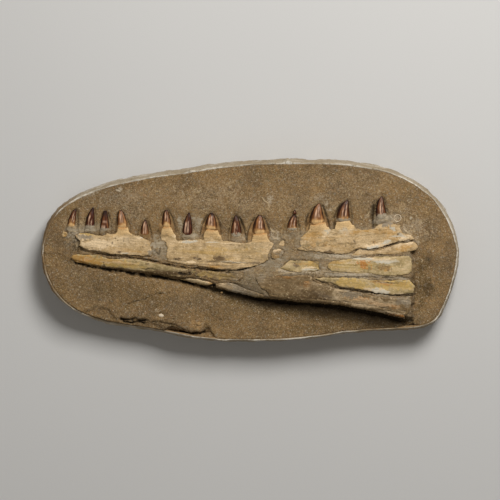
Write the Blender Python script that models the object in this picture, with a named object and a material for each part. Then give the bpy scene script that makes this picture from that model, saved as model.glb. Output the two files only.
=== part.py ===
"""Lower jaw of a mosasaur in a slab of matrix, wrapped in a plaster field jacket.

Metres, +Z up. The slab lies on its back and the fossil faces up. The origin is under the middle of
the slab, on the surface that the jacket rests on. The snout points to -X and the tooth row lies on
the +Y side of the jaw. Outlines and heights below are written in millimetres.
"""

import math
from collections import namedtuple

import bmesh
import bpy
import numpy as np
from mathutils import Matrix

MM = 0.001
COLLECTION_NAME = "Mosasaur jaw slab"
CUTTER_COLLECTION_NAME = "Pocket cutters"
BED_COLLECTION_NAME = "Raised rock"

# Slab and jacket, in millimetres.
MATRIX_TOP = 50.0
JACKET_FLOOR = 9.0
RIM_WIDTH = 3.4
RIM_RISE = 0.8
JACKET_FOOT_ROUNDING = 11.0
JACKET_WALL_LEVELS = (20.0, 31.0, 41.0)
JACKET_BELLY = 2.4
JACKET_DENTS = 1.2
JACKET_COLOUR = (166, 150, 126)
CONTACT_GAP = 0.3
MATRIX_CELL = 19.0
MATRIX_COLOUR = (128, 105, 76)
CHALKY = 0.93
RIM_POINTS_PER_SPAN = 2

# Bones.
POCKET_FLOOR = 43.0
POCKET_MARGIN = 0.8
BONE_CELL_LONG = 17.0
BONE_CELL_ACROSS = 9.0
BONE_EDGE_WIDTH = 1.3
BONE_EDGE_DROP = 1.1
BONE_ROUGHNESS = 0.7

# Teeth.
TOOTH_FLATTENING = 0.72
TOOTH_POCKET_FLOOR = 40.5
TOOTH_POCKET_MARGIN = 1.0
TOOTH_AXIS_HEIGHT = 49.6
TOOTH_TIP_LIFT = 1.6
TOOTH_RINGS = 5
TOOTH_BEVEL_RESOLUTION = 3
TOOTH_BEND = 0.55
ENAMEL_ROUGHNESS = 0.28
SHARP_EDGE = math.radians(50)

CUTTER_TOP = 90.0

# The rock between the bones stands this much lower than their surface.
BED_DROP = 2.2
BED_FLOOR = 44.0

# Top edge of the jacket, clockwise from the snout end.
RIM = [
    (-333.5, -4), (-331, 18), (-323, 43), (-308, 65), (-288, 81), (-262, 94), (-230, 106),
    (-190, 115.5), (-145, 123.5), (-102, 129), (-65, 135), (-25, 140), (24, 143.2), (85, 144),
    (138, 143), (182, 138), (221, 129.5), (254, 115.5), (285, 95), (307, 70.5), (322, 42),
    (331.5, 14), (333.5, -8), (329, -36), (321, -65), (311, -91), (298.5, -110.5), (279, -121),
    (246, -125), (200, -127.5), (155, -130), (112, -137), (62, -142), (12, -143.8), (-37, -144),
    (-82, -140), (-125, -132.5), (-182, -123), (-229, -115), (-268, -102), (-296, -84),
    (-316, -61), (-329, -31),
]

# Upper and lower edge of the whole jaw from snout to break, without the tooth bases.
JAW_UPPER_EDGE = [(-307, 20), (-280, 28), (-190, 28), (-150, 19), (0, 16), (90, 30), (170, 38), (275, 30)]
JAW_LOWER_EDGE = [(-307, -3), (-286, -12), (-240, -24), (-176, -32), (-112, -44), (-57, -57),
                  (20, -75), (80, -81), (144, -86), (208, -98), (275, -112)]
JAW_CREST_HEIGHT = [(-307, 5), (-240, 7.5), (-150, 9.5), (0, 12), (110, 15), (275, 18)]
JAW_CROSS_SECTION = [(-0.3, 0.24), (0.0, 0.34), (0.25, 0.72), (0.55, 1.0), (0.8, 0.92), (1.0, 0.55)]

Bone = namedtuple("Bone", "name colour lift outline")

BONES = [
    Bone("jaw_tip_chip", (196, 160, 92), 0.0, [
        (-302.5, 29.5), (-298.5, 32.5), (-292.5, 32), (-290.5, 27.5), (-294.5, 23.5), (-300, 22)]),
    Bone("dentary_front", (196, 168, 124), 1.2, [
        (-280, 27), (-270.5, 31), (-256, 30), (-244.5, 27.5), (-235, 26), (-228.5, 30.5),
        (-220.5, 28), (-213.5, 32), (-211, 40), (-195, 40), (-190.5, 31.5), (-184, 27.5),
        (-177.5, 27.5), (-169.5, 22), (-157.5, 18), (-159.5, 10), (-154.5, 3), (-157.5, -6.5),
        (-171, -6.5), (-187, -5), (-206.5, -4.5), (-222.5, -3.5), (-233.5, -1), (-246.5, 1.5),
        (-257.5, 2.5), (-265.5, 5.5), (-273.5, 10), (-272, 18), (-278, 22)]),
    Bone("dentary_middle", (181, 155, 113), 0.6, [
        (-134, -10.5), (-135, -0.5), (-133, 7.5), (-135, 15.5), (-142.5, 18), (-144, 27),
        (-141.5, 37), (-138.5, 41.2), (-127, 41.2), (-122.5, 34), (-118.5, 26), (-116.5, 18.5),
        (-99, 20), (-83, 21), (-75, 20.5), (-74, 29.5), (-71, 36.8), (-60.5, 36.9), (-51.3, 35.8),
        (-46.5, 27), (-43, 19), (-30.5, 17.5), (-16, 14.5), (-4, 15), (2.5, 17.5), (3.8, 28.6),
        (26.8, 31.2), (29.5, 23.5), (33, 17.5), (39.5, 13.5), (36, 8.5), (33, 3), (29, -4.5),
        (30.5, -11.5), (22.5, -17), (11.5, -21), (0, -24.5), (-11, -26), (-25.5, -28.5),
        (-41.5, -28), (-59, -26), (-75, -23.5), (-89.5, -21.5), (-108.5, -19), (-124.5, -16.5),
        (-132.5, -14.5)]),
    Bone("dentary_rear", (172, 147, 107), 0.8, [
        (78.5, 17), (81.5, 24.5), (87.5, 30), (93, 35), (96, 43.5), (107.5, 46), (120, 48),
        (125, 43.5), (129, 37), (134.5, 38), (137.5, 48.5), (149, 50), (160, 51.5), (165.5, 46),
        (169, 39), (176, 36.5), (187.5, 36), (199.5, 38.5), (203.5, 43), (214.5, 47.5),
        (225.5, 50), (230.5, 45.5), (241, 44), (239.5, 38), (245, 31), (253.5, 30), (260, 25.5),
        (262.5, 20.5), (253, 19), (240, 17), (227.5, 14), (216, 10), (203.5, 6.5), (189, 4.5),
        (176, 6.5), (166.5, 4), (160, -0.5), (152, -2.5), (136, -3.5), (123.5, -2), (109, 1),
        (94.5, 0.5), (81.5, 3), (74.5, 5.5), (80, 10)]),
    Bone("dentary_strip", (185, 159, 120), -0.8, [
        (168, 1.8), (175, 5), (189, 2.5), (203.5, 4.7), (217.5, 8), (229, 12), (241.5, 15),
        (254.5, 17.2), (261.5, 18), (267.5, 12.5), (268, 7), (264, 2.5), (251.5, 0), (237, -2.5),
        (221, -3.8), (201.5, -3.5), (185.5, -4), (173, -5), (163.5, -6), (162, -2.5)]),
    Bone("dentary_splinter", (176, 156, 128), -2.0, [
        (44, 13), (49.5, 19), (54.5, 18.5), (55.5, 12.5), (53.5, 8.5), (45.5, 10.5)]),
    Bone("orange_chip", (158, 112, 62), -1.5, [
        (37.5, 5), (46.5, 6), (53.5, 3), (54.5, -3.5), (49, -9), (40, -12), (33.5, -10),
        (33.5, -2)]),
    Bone("surangular_front", (164, 135, 86), -1.6, [
        (53, -21), (58.5, -16.5), (64, -12.5), (75.5, -11), (88, -13.5), (101, -13.5), (111, -14.5),
        (110.5, -21), (112, -28), (102.5, -31.5), (89.5, -30.5), (75.5, -32), (64, -30),
        (53, -28.5), (45.5, -26)]),
    Bone("surangular_rear", (170, 150, 108), 0.4, [
        (126.5, -16), (133, -13), (145.5, -11), (158.5, -10), (169.5, -8.5), (185.5, -7),
        (205, -6), (224, -6), (240, -5), (254.5, -5), (258, -10.5), (260, -19.5), (258.5, -29),
        (253, -34.5), (240, -37), (224, -37.5), (208, -36.5), (189, -34), (169.5, -33),
        (150.5, -32), (133, -30.5), (123.5, -26), (122.5, -20.5)]),
    Bone("angular_strip", (168, 144, 95), 0.9, [
        (104, -41.5), (113.5, -39.5), (129.5, -39), (145.5, -39.5), (163.5, -39.5), (179.5, -40.5),
        (192, -43), (208, -44.5), (227.5, -44), (240, -43), (247.5, -44), (254.5, -43), (260, -47.5),
        (264, -53), (262.5, -60.5), (261.5, -65.5), (248, -66.5), (233.5, -67.5), (216, -67),
        (201.5, -65.5), (192, -62), (179.5, -60), (163.5, -58), (147.5, -56), (136, -52.5),
        (125, -48.5), (112, -45.5)]),
    Bone("angular", (120, 97, 68), 0.0, [
        (8, -39.5), (19.5, -37), (32, -38), (48, -37.5), (64, -38), (80, -35.5), (94.5, -35),
        (101, -38.5), (101.5, -45), (109, -48.5), (123.5, -52.5), (134.5, -56.5), (147.5, -60.2),
        (163.5, -62), (177.5, -64), (190.5, -66), (201.5, -69.5), (217.5, -71), (233.5, -71),
        (248, -70), (260, -69), (258.5, -77), (257.5, -88.5), (253.5, -98), (247.5, -102.5),
        (249, -108.5), (232, -105), (208, -98.5), (189, -94), (168, -90.5), (144, -86),
        (120, -82), (96, -82), (77, -81.5), (61, -78.5), (45, -75), (32, -72.5), (27.5, -65),
        (19.5, -60.5), (13.5, -53), (9.5, -45)]),
    Bone("splenial_front", (166, 132, 83), -0.4, [
        (-287, -9), (-284, -5), (-275, -3), (-259, -3), (-244.5, -4), (-235, -6), (-228.5, -9),
        (-219, -9.5), (-204.5, -9.5), (-188.5, -10), (-174.5, -12), (-164.5, -14.5), (-155, -16.5),
        (-144, -18.5), (-134.5, -21), (-124.5, -23), (-115, -24.5), (-100.5, -26), (-88.5, -27.5),
        (-85, -29.5), (-88, -34), (-95, -37.5), (-98.5, -39.5), (-112, -40), (-124.5, -39),
        (-139, -36.5), (-156.5, -33.5), (-176, -31.5), (-192, -30), (-208, -27.5), (-224, -25.5),
        (-240, -23.5), (-252.5, -22), (-265.5, -19), (-276.5, -17), (-284, -13.5)]),
    Bone("splenial_flake", (140, 112, 72), -2.4, [
        (-116.5, -43.5), (-104, -42.5), (-90, -42), (-76, -44), (-65.5, -47), (-57, -50),
        (-58, -53), (-59, -57.5), (-67, -56), (-76.5, -54), (-88, -51), (-99, -48),
        (-110.5, -45.5)]),
    Bone("splenial_middle", (125, 105, 67), -1.2, [
        (-81.5, -31), (-75, -28), (-62.5, -30), (-46.5, -32), (-28.5, -32.5), (-14.5, -30.5),
        (-8.5, -34.5), (-10.5, -41), (-15, -46.5), (-27, -46), (-38.5, -45), (-54.5, -46.5),
        (-64, -44), (-75, -41), (-86.5, -39.5), (-91.5, -38.8), (-86, -35)]),
    Bone("splenial_rear", (119, 106, 82), -1.6, [
        (-54.5, -51), (-46.5, -48.5), (-35, -47.8), (-22.5, -50.5), (-11, -56), (0, -61),
        (11.5, -65), (21, -67.5), (25, -71), (19.5, -75), (8, -74), (-3, -71.5), (-16, -68),
        (-30.5, -64.5), (-44.5, -61), (-54.5, -58)]),
]

# The raised rock that fills the cracks between the bones.
BED = [
    (-265, 9), (-224, 19), (-160, 14), (-144, 17), (-112, 14), (0, 9), (40, 7), (59, 19), (77, 19),
    (96, 25), (152, 31), (240, 25), (257, 19), (261, 3), (256, -16), (256, -40), (259, -61),
    (254, -77), (248, -96), (243, -101), (208, -94), (144, -80), (80, -75), (35, -66), (19, -67),
    (-16, -59), (-54, -52), (-72, -50), (-112, -39), (-176, -29), (-240, -20), (-265, -11)]

Tooth = namedtuple("Tooth", "name colour left right tip tip_width")

# Crowns from the snout backwards: both ends of the crown's foot, and the tip.
TEETH = [
    Tooth("tooth_01", (96, 50, 26), (-292, 43.5), (-279, 42.5), (-277.5, 69.5), 1.5),
    Tooth("tooth_02", (68, 39, 17), (-263.5, 40), (-248, 39.8), (-250, 71.5), 1.5),
    Tooth("tooth_03", (110, 78, 50), (-239.5, 37), (-224.5, 37), (-231, 66), 5.0),
    Tooth("tooth_04", (134, 101, 75), (-212.5, 42), (-195.5, 42), (-207.5, 67), 4.0),
    Tooth("tooth_05", (128, 92, 60), (-175, 29.5), (-161.5, 29.5), (-167, 52), 1.5),
    Tooth("tooth_06", (138, 100, 66), (-141, 43), (-125.5, 43), (-134, 67), 4.5),
    Tooth("tooth_07", (74, 44, 24), (-108, 31.5), (-91.5, 31.5), (-97, 63.5), 1.5),
    Tooth("tooth_08", (118, 80, 48), (-72, 39), (-52, 39), (-61, 62.5), 5.5),
    Tooth("tooth_09", (114, 73, 42), (-30.5, 28.5), (-13, 28.5), (-22.5, 59), 2.0),
    Tooth("tooth_10", (149, 112, 84), (4, 31), (26, 33.5), (16.5, 59), 5.0),
    Tooth("tooth_11", (120, 80, 50), (59, 37), (76, 38), (72, 58.5), 6.0),
    Tooth("tooth_12", (149, 109, 72), (96, 46.5), (119.5, 50.5), (111.5, 78), 2.0),
    Tooth("tooth_13", (140, 92, 56), (138, 51.5), (160, 54), (156.5, 83.5), 2.0),
    Tooth("tooth_14", (84, 48, 26), (201.5, 54.5), (219, 59), (211, 89.5), 1.5),
]

# The tip of the eleventh crown is broken off and lies just ahead of it.
BROKEN_TIP = Tooth("tooth_11_tip", (70, 36, 20), (68.5, 61.5), (75, 61.5), (71.5, 67.5), 1.0)
BROKEN_TIP_AXIS_HEIGHT = 50.5

# Ledges where the matrix has broken down along its lower left edge.
LEDGE_FLOOR = 42.0
LEDGE = [
    (-302, -79), (-288, -86), (-275, -93), (-265, -87.5), (-244, -85.5), (-227, -92.5),
    (-209, -109), (-183, -112), (-160, -110), (-143, -120.5), (-135, -127), (-138, -150),
    (-240, -150), (-330, -100)]
CREVICE_FLOOR = 36.0
CREVICE = [
    (-137, -124), (-130, -119), (-120, -119.5), (-107, -124.5), (-97.5, -130), (-73.5, -130.5),
    (-64, -127.5), (-56, -131), (-60, -150), (-137, -150)]

# Small things stuck in the matrix.
SHELL_COLOUR = (200, 186, 162)
RING_CENTRE = (236.0, 54.0)
RING_RADIUS = 5.4
RING_THICKNESS = 1.7
RING_FLOOR = 47.8
NODULE_COLOUR = (141, 113, 74)
NODULE_CENTRE = (-84.0, -115.5)
NODULE_SIZE = (24.0, 13.0, 11.0)
NODULE_FLOOR = 41.0
NODULE_SKEW = 0.6
PEBBLE_COLOUR = (120, 96, 66)
PEBBLE_CENTRE = (-45.5, -66.0)
PEBBLE_SIZE = (4.4, 4.4, 4.4)
PEBBLE_FLOOR = 46.0
CHIP_OUTLINE = [(-147, -101), (-142, -99), (-137.5, -102), (-139, -105.5), (-145.5, -105)]
CHIP_FLOOR = 46.0
CHIP_HEIGHT = 4.6
ROUND_POCKET_SIDES = 14


def srgb(red, green, blue):
    """Linear colour of an 8-bit sRGB one."""
    def linear(channel):
        value = channel / 255
        return value / 12.92 if value <= 0.04045 else ((value + 0.055) / 1.055) ** 2.4
    return (linear(red), linear(green), linear(blue), 1.0)


def give_material(obj, colour, roughness):
    """One Principled material of its own for the object."""
    material = bpy.data.materials.new(obj.name)
    material.use_nodes = True
    shader = material.node_tree.nodes["Principled BSDF"]
    shader.inputs["Base Color"].default_value = srgb(*colour)
    shader.inputs["Roughness"].default_value = roughness
    shader.inputs["Metallic"].default_value = 0.0
    obj.data.materials.clear()
    obj.data.materials.append(material)


def clear_scene():
    for obj in list(bpy.data.objects):
        bpy.data.objects.remove(obj, do_unlink=True)


def new_collection(name):
    collection = bpy.data.collections.new(name)
    bpy.context.scene.collection.children.link(collection)
    return collection


def polyline(points, x):
    """Height of an open line of points at x."""
    return float(np.interp(x, [p[0] for p in points], [p[1] for p in points]))


def jaw_height(x, y):
    """Top surface of the bones: low at the tooth row, a long crest, and a steep lower edge."""
    upper = polyline(JAW_UPPER_EDGE, x)
    lower = polyline(JAW_LOWER_EDGE, x)
    across = (upper - y) / (upper - lower)
    swell = polyline(JAW_CREST_HEIGHT, x) * polyline(JAW_CROSS_SECTION, across)
    unevenness = 0.7 * math.sin(x / 13 + y / 9) + 0.5 * math.sin(x / 29 - y / 6)
    return MATRIX_TOP + swell + unevenness


def matrix_height(x, y):
    """Top surface of the matrix: a gentle roll, a gouge under the jaw and a hollow behind it."""
    roll = 1.1 * math.sin(x / 43 + 0.6) * math.cos(y / 29) + 0.7 * math.sin(x / 21 + y / 25)
    below_jaw = polyline(JAW_LOWER_EDGE, x) - y
    gouge_depth = float(np.interp(x, [-290, -150, 20, 240], [1.0, 2.0, 4.5, 5.5]))
    gouge = gouge_depth * math.exp(-(below_jaw / 16) ** 2) if below_jaw > 0 and x < 262 else 0.0
    hollow = 4.0 * math.exp(-((x - 283) / 20) ** 2 - ((y + 45) / 60) ** 2)
    return MATRIX_TOP + roll - gouge - hollow


def rim_height(x, y):
    """Top edge of the jacket, which sags where the matrix has broken down."""
    sag = 7.0 * math.exp(-((x + 205) / 70) ** 4) if y < 0 else 0.0
    return MATRIX_TOP + RIM_RISE - sag + 0.6 * math.sin(x / 17) * math.cos(y / 14)


def round_outline(points, per_span):
    """Closed smooth line through the points, read at per_span places in each span."""
    count = len(points)
    line = []
    for index in range(count):
        before, start, end, after = (
            np.array(points[(index + step) % count], float) for step in (-1, 0, 1, 2))
        for part in range(per_span):
            t = part / per_span
            bend = (2 * before - 5 * start + 4 * end - after) * t ** 2
            curl = (3 * start - before - 3 * end + after) * t ** 3
            line.append(tuple(0.5 * (2 * start + (end - before) * t + bend + curl)))
    return line


def widened(points, margin):
    """The outline moved outwards by margin, or inwards where margin is negative."""
    ring = np.array(points, float)
    following = np.roll(ring, -1, axis=0)
    area = np.sum(ring[:, 0] * following[:, 1] - following[:, 0] * ring[:, 1])
    along = following - ring
    along /= np.linalg.norm(along, axis=1, keepdims=True)
    outward = np.column_stack([along[:, 1], -along[:, 0]]) * math.copysign(1.0, area)
    earlier = np.roll(outward, 1, axis=0)
    sharpness = np.maximum(1 + np.sum(outward * earlier, axis=1, keepdims=True), 0.6)
    return [tuple(p) for p in ring + margin * (outward + earlier) / sharpness]


def mesh_of_curve(curve_object, collection):
    """A mesh object in place of the curve, with its caps welded on."""
    evaluated = curve_object.evaluated_get(bpy.context.evaluated_depsgraph_get())
    mesh = bpy.data.meshes.new_from_object(evaluated)
    work = bmesh.new()
    work.from_mesh(mesh)
    bmesh.ops.remove_doubles(work, verts=work.verts, dist=0.00001)
    bmesh.ops.recalc_face_normals(work, faces=work.faces)
    work.to_mesh(mesh)
    work.free()
    name = curve_object.name
    place = curve_object.matrix_world.copy()
    curve_data = curve_object.data
    bpy.data.objects.remove(curve_object, do_unlink=True)
    bpy.data.curves.remove(curve_data)
    obj = bpy.data.objects.new(name, mesh)
    mesh.name = name
    mesh.transform(place)
    collection.objects.link(obj)
    return obj


def outline_block(name, outline, bottom, top, collection):
    """A straight-sided block of the outline between two heights."""
    curve = bpy.data.curves.new(name, "CURVE")
    curve.dimensions = "2D"
    curve.fill_mode = "BOTH"
    curve.extrude = (top - bottom) / 2 * MM
    spline = curve.splines.new("POLY")
    spline.points.add(len(outline) - 1)
    for point, (x, y) in zip(spline.points, outline):
        point.co = (x * MM, y * MM, 0.0, 1.0)
    spline.use_cyclic_u = True
    obj = bpy.data.objects.new(name, curve)
    obj.location.z = (top + bottom) / 2 * MM
    collection.objects.link(obj)
    bpy.context.view_layer.update()
    return mesh_of_curve(obj, collection)


def joined_cap(work, height):
    """The block's flat face at a height, made one face."""
    cap = [f for f in work.faces if abs(f.calc_center_median().z - height * MM) < 0.00001]
    if len(cap) > 1:
        return bmesh.ops.dissolve_faces(work, faces=cap)["region"][0]
    return cap[0]


def cut_into_cells(work, faces, long_cell, across_cell):
    """Cuts the faces along a plan grid, so that their points can be given heights."""
    xs = [v.co.x for f in faces for v in f.verts]
    ys = [v.co.y for f in faces for v in f.verts]
    cuts = [((x, 0, 0), (1, 0, 0)) for x in grid_lines(min(xs), max(xs), long_cell * MM)]
    cuts += [((0, y, 0), (0, 1, 0)) for y in grid_lines(min(ys), max(ys), across_cell * MM)]
    region = set(faces)
    for point, normal in cuts:
        edges = {e for f in region for e in f.edges}
        verts = {v for f in region for v in f.verts}
        bmesh.ops.bisect_plane(work, geom=list(region) + list(edges) + list(verts), dist=0.00002,
                               plane_co=point, plane_no=normal)
        region = {f for f in work.faces if f.select}
    return region


def grid_lines(low, high, cell):
    """Places of the grid lines between two limits, clear of both."""
    first = math.ceil((low + 0.1 * cell) / cell)
    last = math.floor((high - 0.1 * cell) / cell)
    return [step * cell for step in range(first, last + 1)]


def shape_top(obj, top, height, cells, edge_width, edge_drop):
    """Gives the block's flat top the relief of height, with a worn edge around it."""
    work = bmesh.new()
    work.from_mesh(obj.data)
    cap = joined_cap(work, top)
    border = list(cap.verts)
    for face in work.faces:
        face.select = False
    if edge_width:
        bmesh.ops.inset_region(work, faces=[cap], thickness=edge_width * MM, use_even_offset=True)
    cap.select = True
    surface = cut_into_cells(work, [cap], *cells)
    raised = {v for f in surface for v in f.verts}
    for vert in raised | set(border):
        x, y = vert.co.x / MM, vert.co.y / MM
        drop = edge_drop if vert in border else 0.0
        vert.co.z = (height(x, y) - drop) * MM
    bmesh.ops.triangulate(work, faces=[f for f in work.faces if any(v in raised for v in f.verts)])
    work.to_mesh(obj.data)
    work.free()


def build_jacket(collection):
    """Plaster tray: a lumpy wall that bellies out, a rounded foot, and a thin rim on top."""
    outline = round_outline(RIM, RIM_POINTS_PER_SPAN)
    obj = outline_block("plaster_jacket", outline, 0.0, MATRIX_TOP, collection)
    work = bmesh.new()
    work.from_mesh(obj.data)
    joined_cap(work, 0.0)
    cap = joined_cap(work, MATRIX_TOP)
    foot = [e for e in work.edges if all(v.co.z < 0.00001 for v in e.verts)]
    bmesh.ops.bevel(work, geom=foot, offset=JACKET_FOOT_ROUNDING * MM, segments=3, profile=0.5,
                    affect="EDGES")
    for level in JACKET_WALL_LEVELS:
        everything = list(work.faces) + list(work.edges) + list(work.verts)
        bmesh.ops.bisect_plane(work, geom=everything, dist=0.00001, plane_co=(0, 0, level * MM),
                               plane_no=(0, 0, 1))
    work.normal_update()
    for vert in work.verts:
        if JACKET_FOOT_ROUNDING * MM < vert.co.z < (MATRIX_TOP - 1) * MM:
            height = vert.co.z / (MATRIX_TOP * MM)
            belly = JACKET_BELLY * math.sin(math.pi * height)
            wave = math.sin(vert.co.x * 61 + vert.co.z * 90) * math.cos(vert.co.y * 74)
            vert.co += vert.normal * (belly - JACKET_DENTS * (0.5 - 0.5 * wave)) * MM
    bmesh.ops.inset_region(work, faces=[cap], thickness=RIM_WIDTH * MM, use_even_offset=True)
    for vert in work.verts:
        if vert.co.z > (MATRIX_TOP - 0.01) * MM:
            vert.co.z = rim_height(vert.co.x / MM, vert.co.y / MM) * MM
    pit = bmesh.ops.extrude_face_region(work, geom=[cap])["geom"]
    for vert in (v for v in pit if isinstance(v, bmesh.types.BMVert)):
        vert.co.z = JACKET_FLOOR * MM
    if cap.is_valid:
        work.faces.remove(cap)
    bmesh.ops.recalc_face_normals(work, faces=work.faces)
    work.to_mesh(obj.data)
    work.free()
    give_material(obj, JACKET_COLOUR, CHALKY)
    return obj


def build_bed(collection):
    """Raised rock between the bones, which is joined to the slab of matrix."""
    bed = outline_block("bed", BED, BED_FLOOR, MATRIX_TOP, collection)
    shape_top(bed, MATRIX_TOP, lambda x, y: jaw_height(x, y) - BED_DROP,
              (BONE_CELL_LONG, BONE_CELL_ACROSS), 0.0, 0.0)
    bed.hide_render = True
    bed.display_type = "WIRE"
    return bed


def build_matrix(collection, bed, cutters):
    """Rock slab inside the jacket, with its pockets and ledges cut out of it."""
    outline = widened(round_outline(RIM, RIM_POINTS_PER_SPAN), -RIM_WIDTH - CONTACT_GAP)
    bottom = JACKET_FLOOR + CONTACT_GAP
    obj = outline_block("matrix", outline, bottom, MATRIX_TOP, collection)
    shape_top(obj, MATRIX_TOP, matrix_height, (MATRIX_CELL, MATRIX_CELL), 0.0, 0.0)
    raised = obj.modifiers.new("Raised rock", "BOOLEAN")
    raised.operation = "UNION"
    raised.object = bed
    raised.solver = "EXACT"
    pockets = obj.modifiers.new("Pockets", "BOOLEAN")
    pockets.operation = "DIFFERENCE"
    pockets.operand_type = "COLLECTION"
    pockets.collection = cutters
    pockets.solver = "EXACT"
    give_material(obj, MATRIX_COLOUR, CHALKY)
    return obj


def add_cutter(name, outline, floor, cutters):
    """A hidden block that cuts a pocket of the outline down to the floor."""
    cutter = outline_block("pocket_" + name, outline, floor, CUTTER_TOP, cutters)
    cutter.hide_render = True
    cutter.display_type = "WIRE"
    return cutter


def build_bone(bone, collection, cutters):
    """One broken piece of the jaw, standing on the floor of its pocket."""
    obj = outline_block(bone.name, bone.outline, POCKET_FLOOR + CONTACT_GAP, MATRIX_TOP, collection)
    shape_top(obj, MATRIX_TOP, lambda x, y: jaw_height(x, y) + bone.lift,
              (BONE_CELL_LONG, BONE_CELL_ACROSS), BONE_EDGE_WIDTH, BONE_EDGE_DROP)
    give_material(obj, bone.colour, BONE_ROUGHNESS)
    add_cutter(bone.name, widened(bone.outline, POCKET_MARGIN), POCKET_FLOOR, cutters)
    return obj


def tooth_rings(tooth):
    """Centres and radii of the rings of a crown, from its foot to its tip."""
    left, right, tip = (np.array(p, float) for p in (tooth.left, tooth.right, tooth.tip))
    foot = (left + right) / 2
    across = right - left
    upright = np.array([-across[1], across[0]]) / np.linalg.norm(across)
    bend = foot + upright * np.linalg.norm(tip - foot) * TOOTH_BEND
    rings = []
    for step in range(TOOTH_RINGS):
        t = step / (TOOTH_RINGS - 1)
        centre = (1 - t) ** 2 * foot + 2 * t * (1 - t) * bend + t ** 2 * tip
        taper = 1 - 0.35 * t - 0.65 * t ** 3
        rings.append((centre, np.linalg.norm(across) / 2 * taper + tooth.tip_width / 2 * t ** 3))
    return rings


def build_tooth(tooth, axis_height, collection, cutters):
    """One pointed crown: a bent, tapering tube, flattened and half sunk in the matrix."""
    rings = tooth_rings(tooth)
    curve = bpy.data.curves.new(tooth.name, "CURVE")
    curve.dimensions = "3D"
    curve.bevel_depth = MM
    curve.bevel_resolution = TOOTH_BEVEL_RESOLUTION
    curve.use_fill_caps = True
    spline = curve.splines.new("POLY")
    spline.points.add(TOOTH_RINGS - 1)
    for point, ((x, y), radius) in zip(spline.points, rings):
        point.co = (x * MM, y * MM, 0.0, 1.0)
        point.radius = radius
    obj = bpy.data.objects.new(tooth.name, curve)
    flattening = Matrix.Diagonal((1, 1, TOOTH_FLATTENING, 1))
    obj.matrix_world = Matrix.Translation((0, 0, axis_height * MM)) @ flattening
    collection.objects.link(obj)
    bpy.context.view_layer.update()
    crown = mesh_of_curve(obj, collection)
    foot_y, tip_y = rings[0][0][1], rings[-1][0][1]
    for vert in crown.data.vertices:
        vert.co.z += TOOTH_TIP_LIFT * MM * (vert.co.y / MM - foot_y) / (tip_y - foot_y)
    crown.data.shade_smooth()
    crown.data.set_sharp_from_angle(angle=SHARP_EDGE)
    give_material(crown, tooth.colour, ENAMEL_ROUGHNESS)
    pocket = widened(side_line(rings), TOOTH_POCKET_MARGIN)
    add_cutter(tooth.name, pocket, TOOTH_POCKET_FLOOR, cutters)
    return crown


def side_line(rings):
    """Plan outline of a crown: up its front edge and down its rear edge."""
    centres = np.array([centre for centre, _ in rings])
    radii = np.array([radius for _, radius in rings])[:, None]
    along = np.gradient(centres, axis=0)
    along /= np.linalg.norm(along, axis=1, keepdims=True)
    sideways = np.column_stack([-along[:, 1], along[:, 0]]) * radii
    front, rear = centres + sideways, centres - sideways
    return [tuple(p) for p in front] + [tuple(p) for p in rear[::-1]]


def build_ring(collection, cutters):
    """Thin ring of shell, seen end on."""
    x, y = RING_CENTRE
    bpy.ops.mesh.primitive_torus_add(
        major_segments=18, minor_segments=6, major_radius=RING_RADIUS * MM,
        minor_radius=RING_THICKNESS / 2 * MM,
        location=(x * MM, y * MM, (RING_FLOOR + CONTACT_GAP + RING_THICKNESS / 2) * MM))
    ring = adopt("shell_ring", collection)
    give_material(ring, SHELL_COLOUR, BONE_ROUGHNESS)
    reach = RING_RADIUS + RING_THICKNESS / 2 + POCKET_MARGIN
    add_cutter("shell_ring", oval(x, y, reach, reach), RING_FLOOR, cutters)


def build_lump(name, centre, size, floor, colour, collection, cutters):
    """A rounded lump that stands in an oval pocket."""
    x, y = centre
    length, width, height = size
    bpy.ops.mesh.primitive_uv_sphere_add(
        segments=12, ring_count=7, radius=MM / 2, scale=size,
        location=(x * MM, y * MM, (floor + CONTACT_GAP + height / 2) * MM))
    lump = adopt(name, collection)
    bpy.ops.object.transform_apply(location=True, rotation=False, scale=True)
    give_material(lump, colour, CHALKY)
    pocket = oval(x, y, length / 2 + 2 * POCKET_MARGIN, width / 2 + 2 * POCKET_MARGIN)
    add_cutter(name, pocket, floor, cutters)
    return lump


def build_nodule(collection, cutters):
    """Tan lump that stands out of the broken lower edge."""
    nodule = build_lump("nodule", NODULE_CENTRE, NODULE_SIZE, NODULE_FLOOR, NODULE_COLOUR,
                        collection, cutters)
    for vert in nodule.data.vertices:
        vert.co.x += NODULE_SKEW * MM * math.sin((vert.co.y + vert.co.z) / MM)


def build_pebble(collection, cutters):
    """Small round grain beside the lower edge of the jaw."""
    pebble = build_lump("pebble", PEBBLE_CENTRE, PEBBLE_SIZE, PEBBLE_FLOOR, PEBBLE_COLOUR,
                        collection, cutters)
    pebble.data.shade_smooth()


def build_chip(collection, cutters):
    """White flake of shell on the lower left of the matrix."""
    obj = outline_block("shell_chip", CHIP_OUTLINE, CHIP_FLOOR + CONTACT_GAP,
                        CHIP_FLOOR + CHIP_HEIGHT, collection)
    give_material(obj, SHELL_COLOUR, BONE_ROUGHNESS)
    add_cutter("shell_chip", widened(CHIP_OUTLINE, POCKET_MARGIN), CHIP_FLOOR, cutters)


def adopt(name, collection):
    """Names the object that was just added and moves it to the collection."""
    obj = bpy.context.object
    obj.name = name
    obj.data.name = name
    for home in list(obj.users_collection):
        home.objects.unlink(obj)
    collection.objects.link(obj)
    return obj


def oval(x, y, half_length, half_width):
    """Outline of an oval pocket."""
    turn = 2 * math.pi / ROUND_POCKET_SIDES
    return [(x + half_length * math.cos(turn * step), y + half_width * math.sin(turn * step))
            for step in range(ROUND_POCKET_SIDES)]


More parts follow.
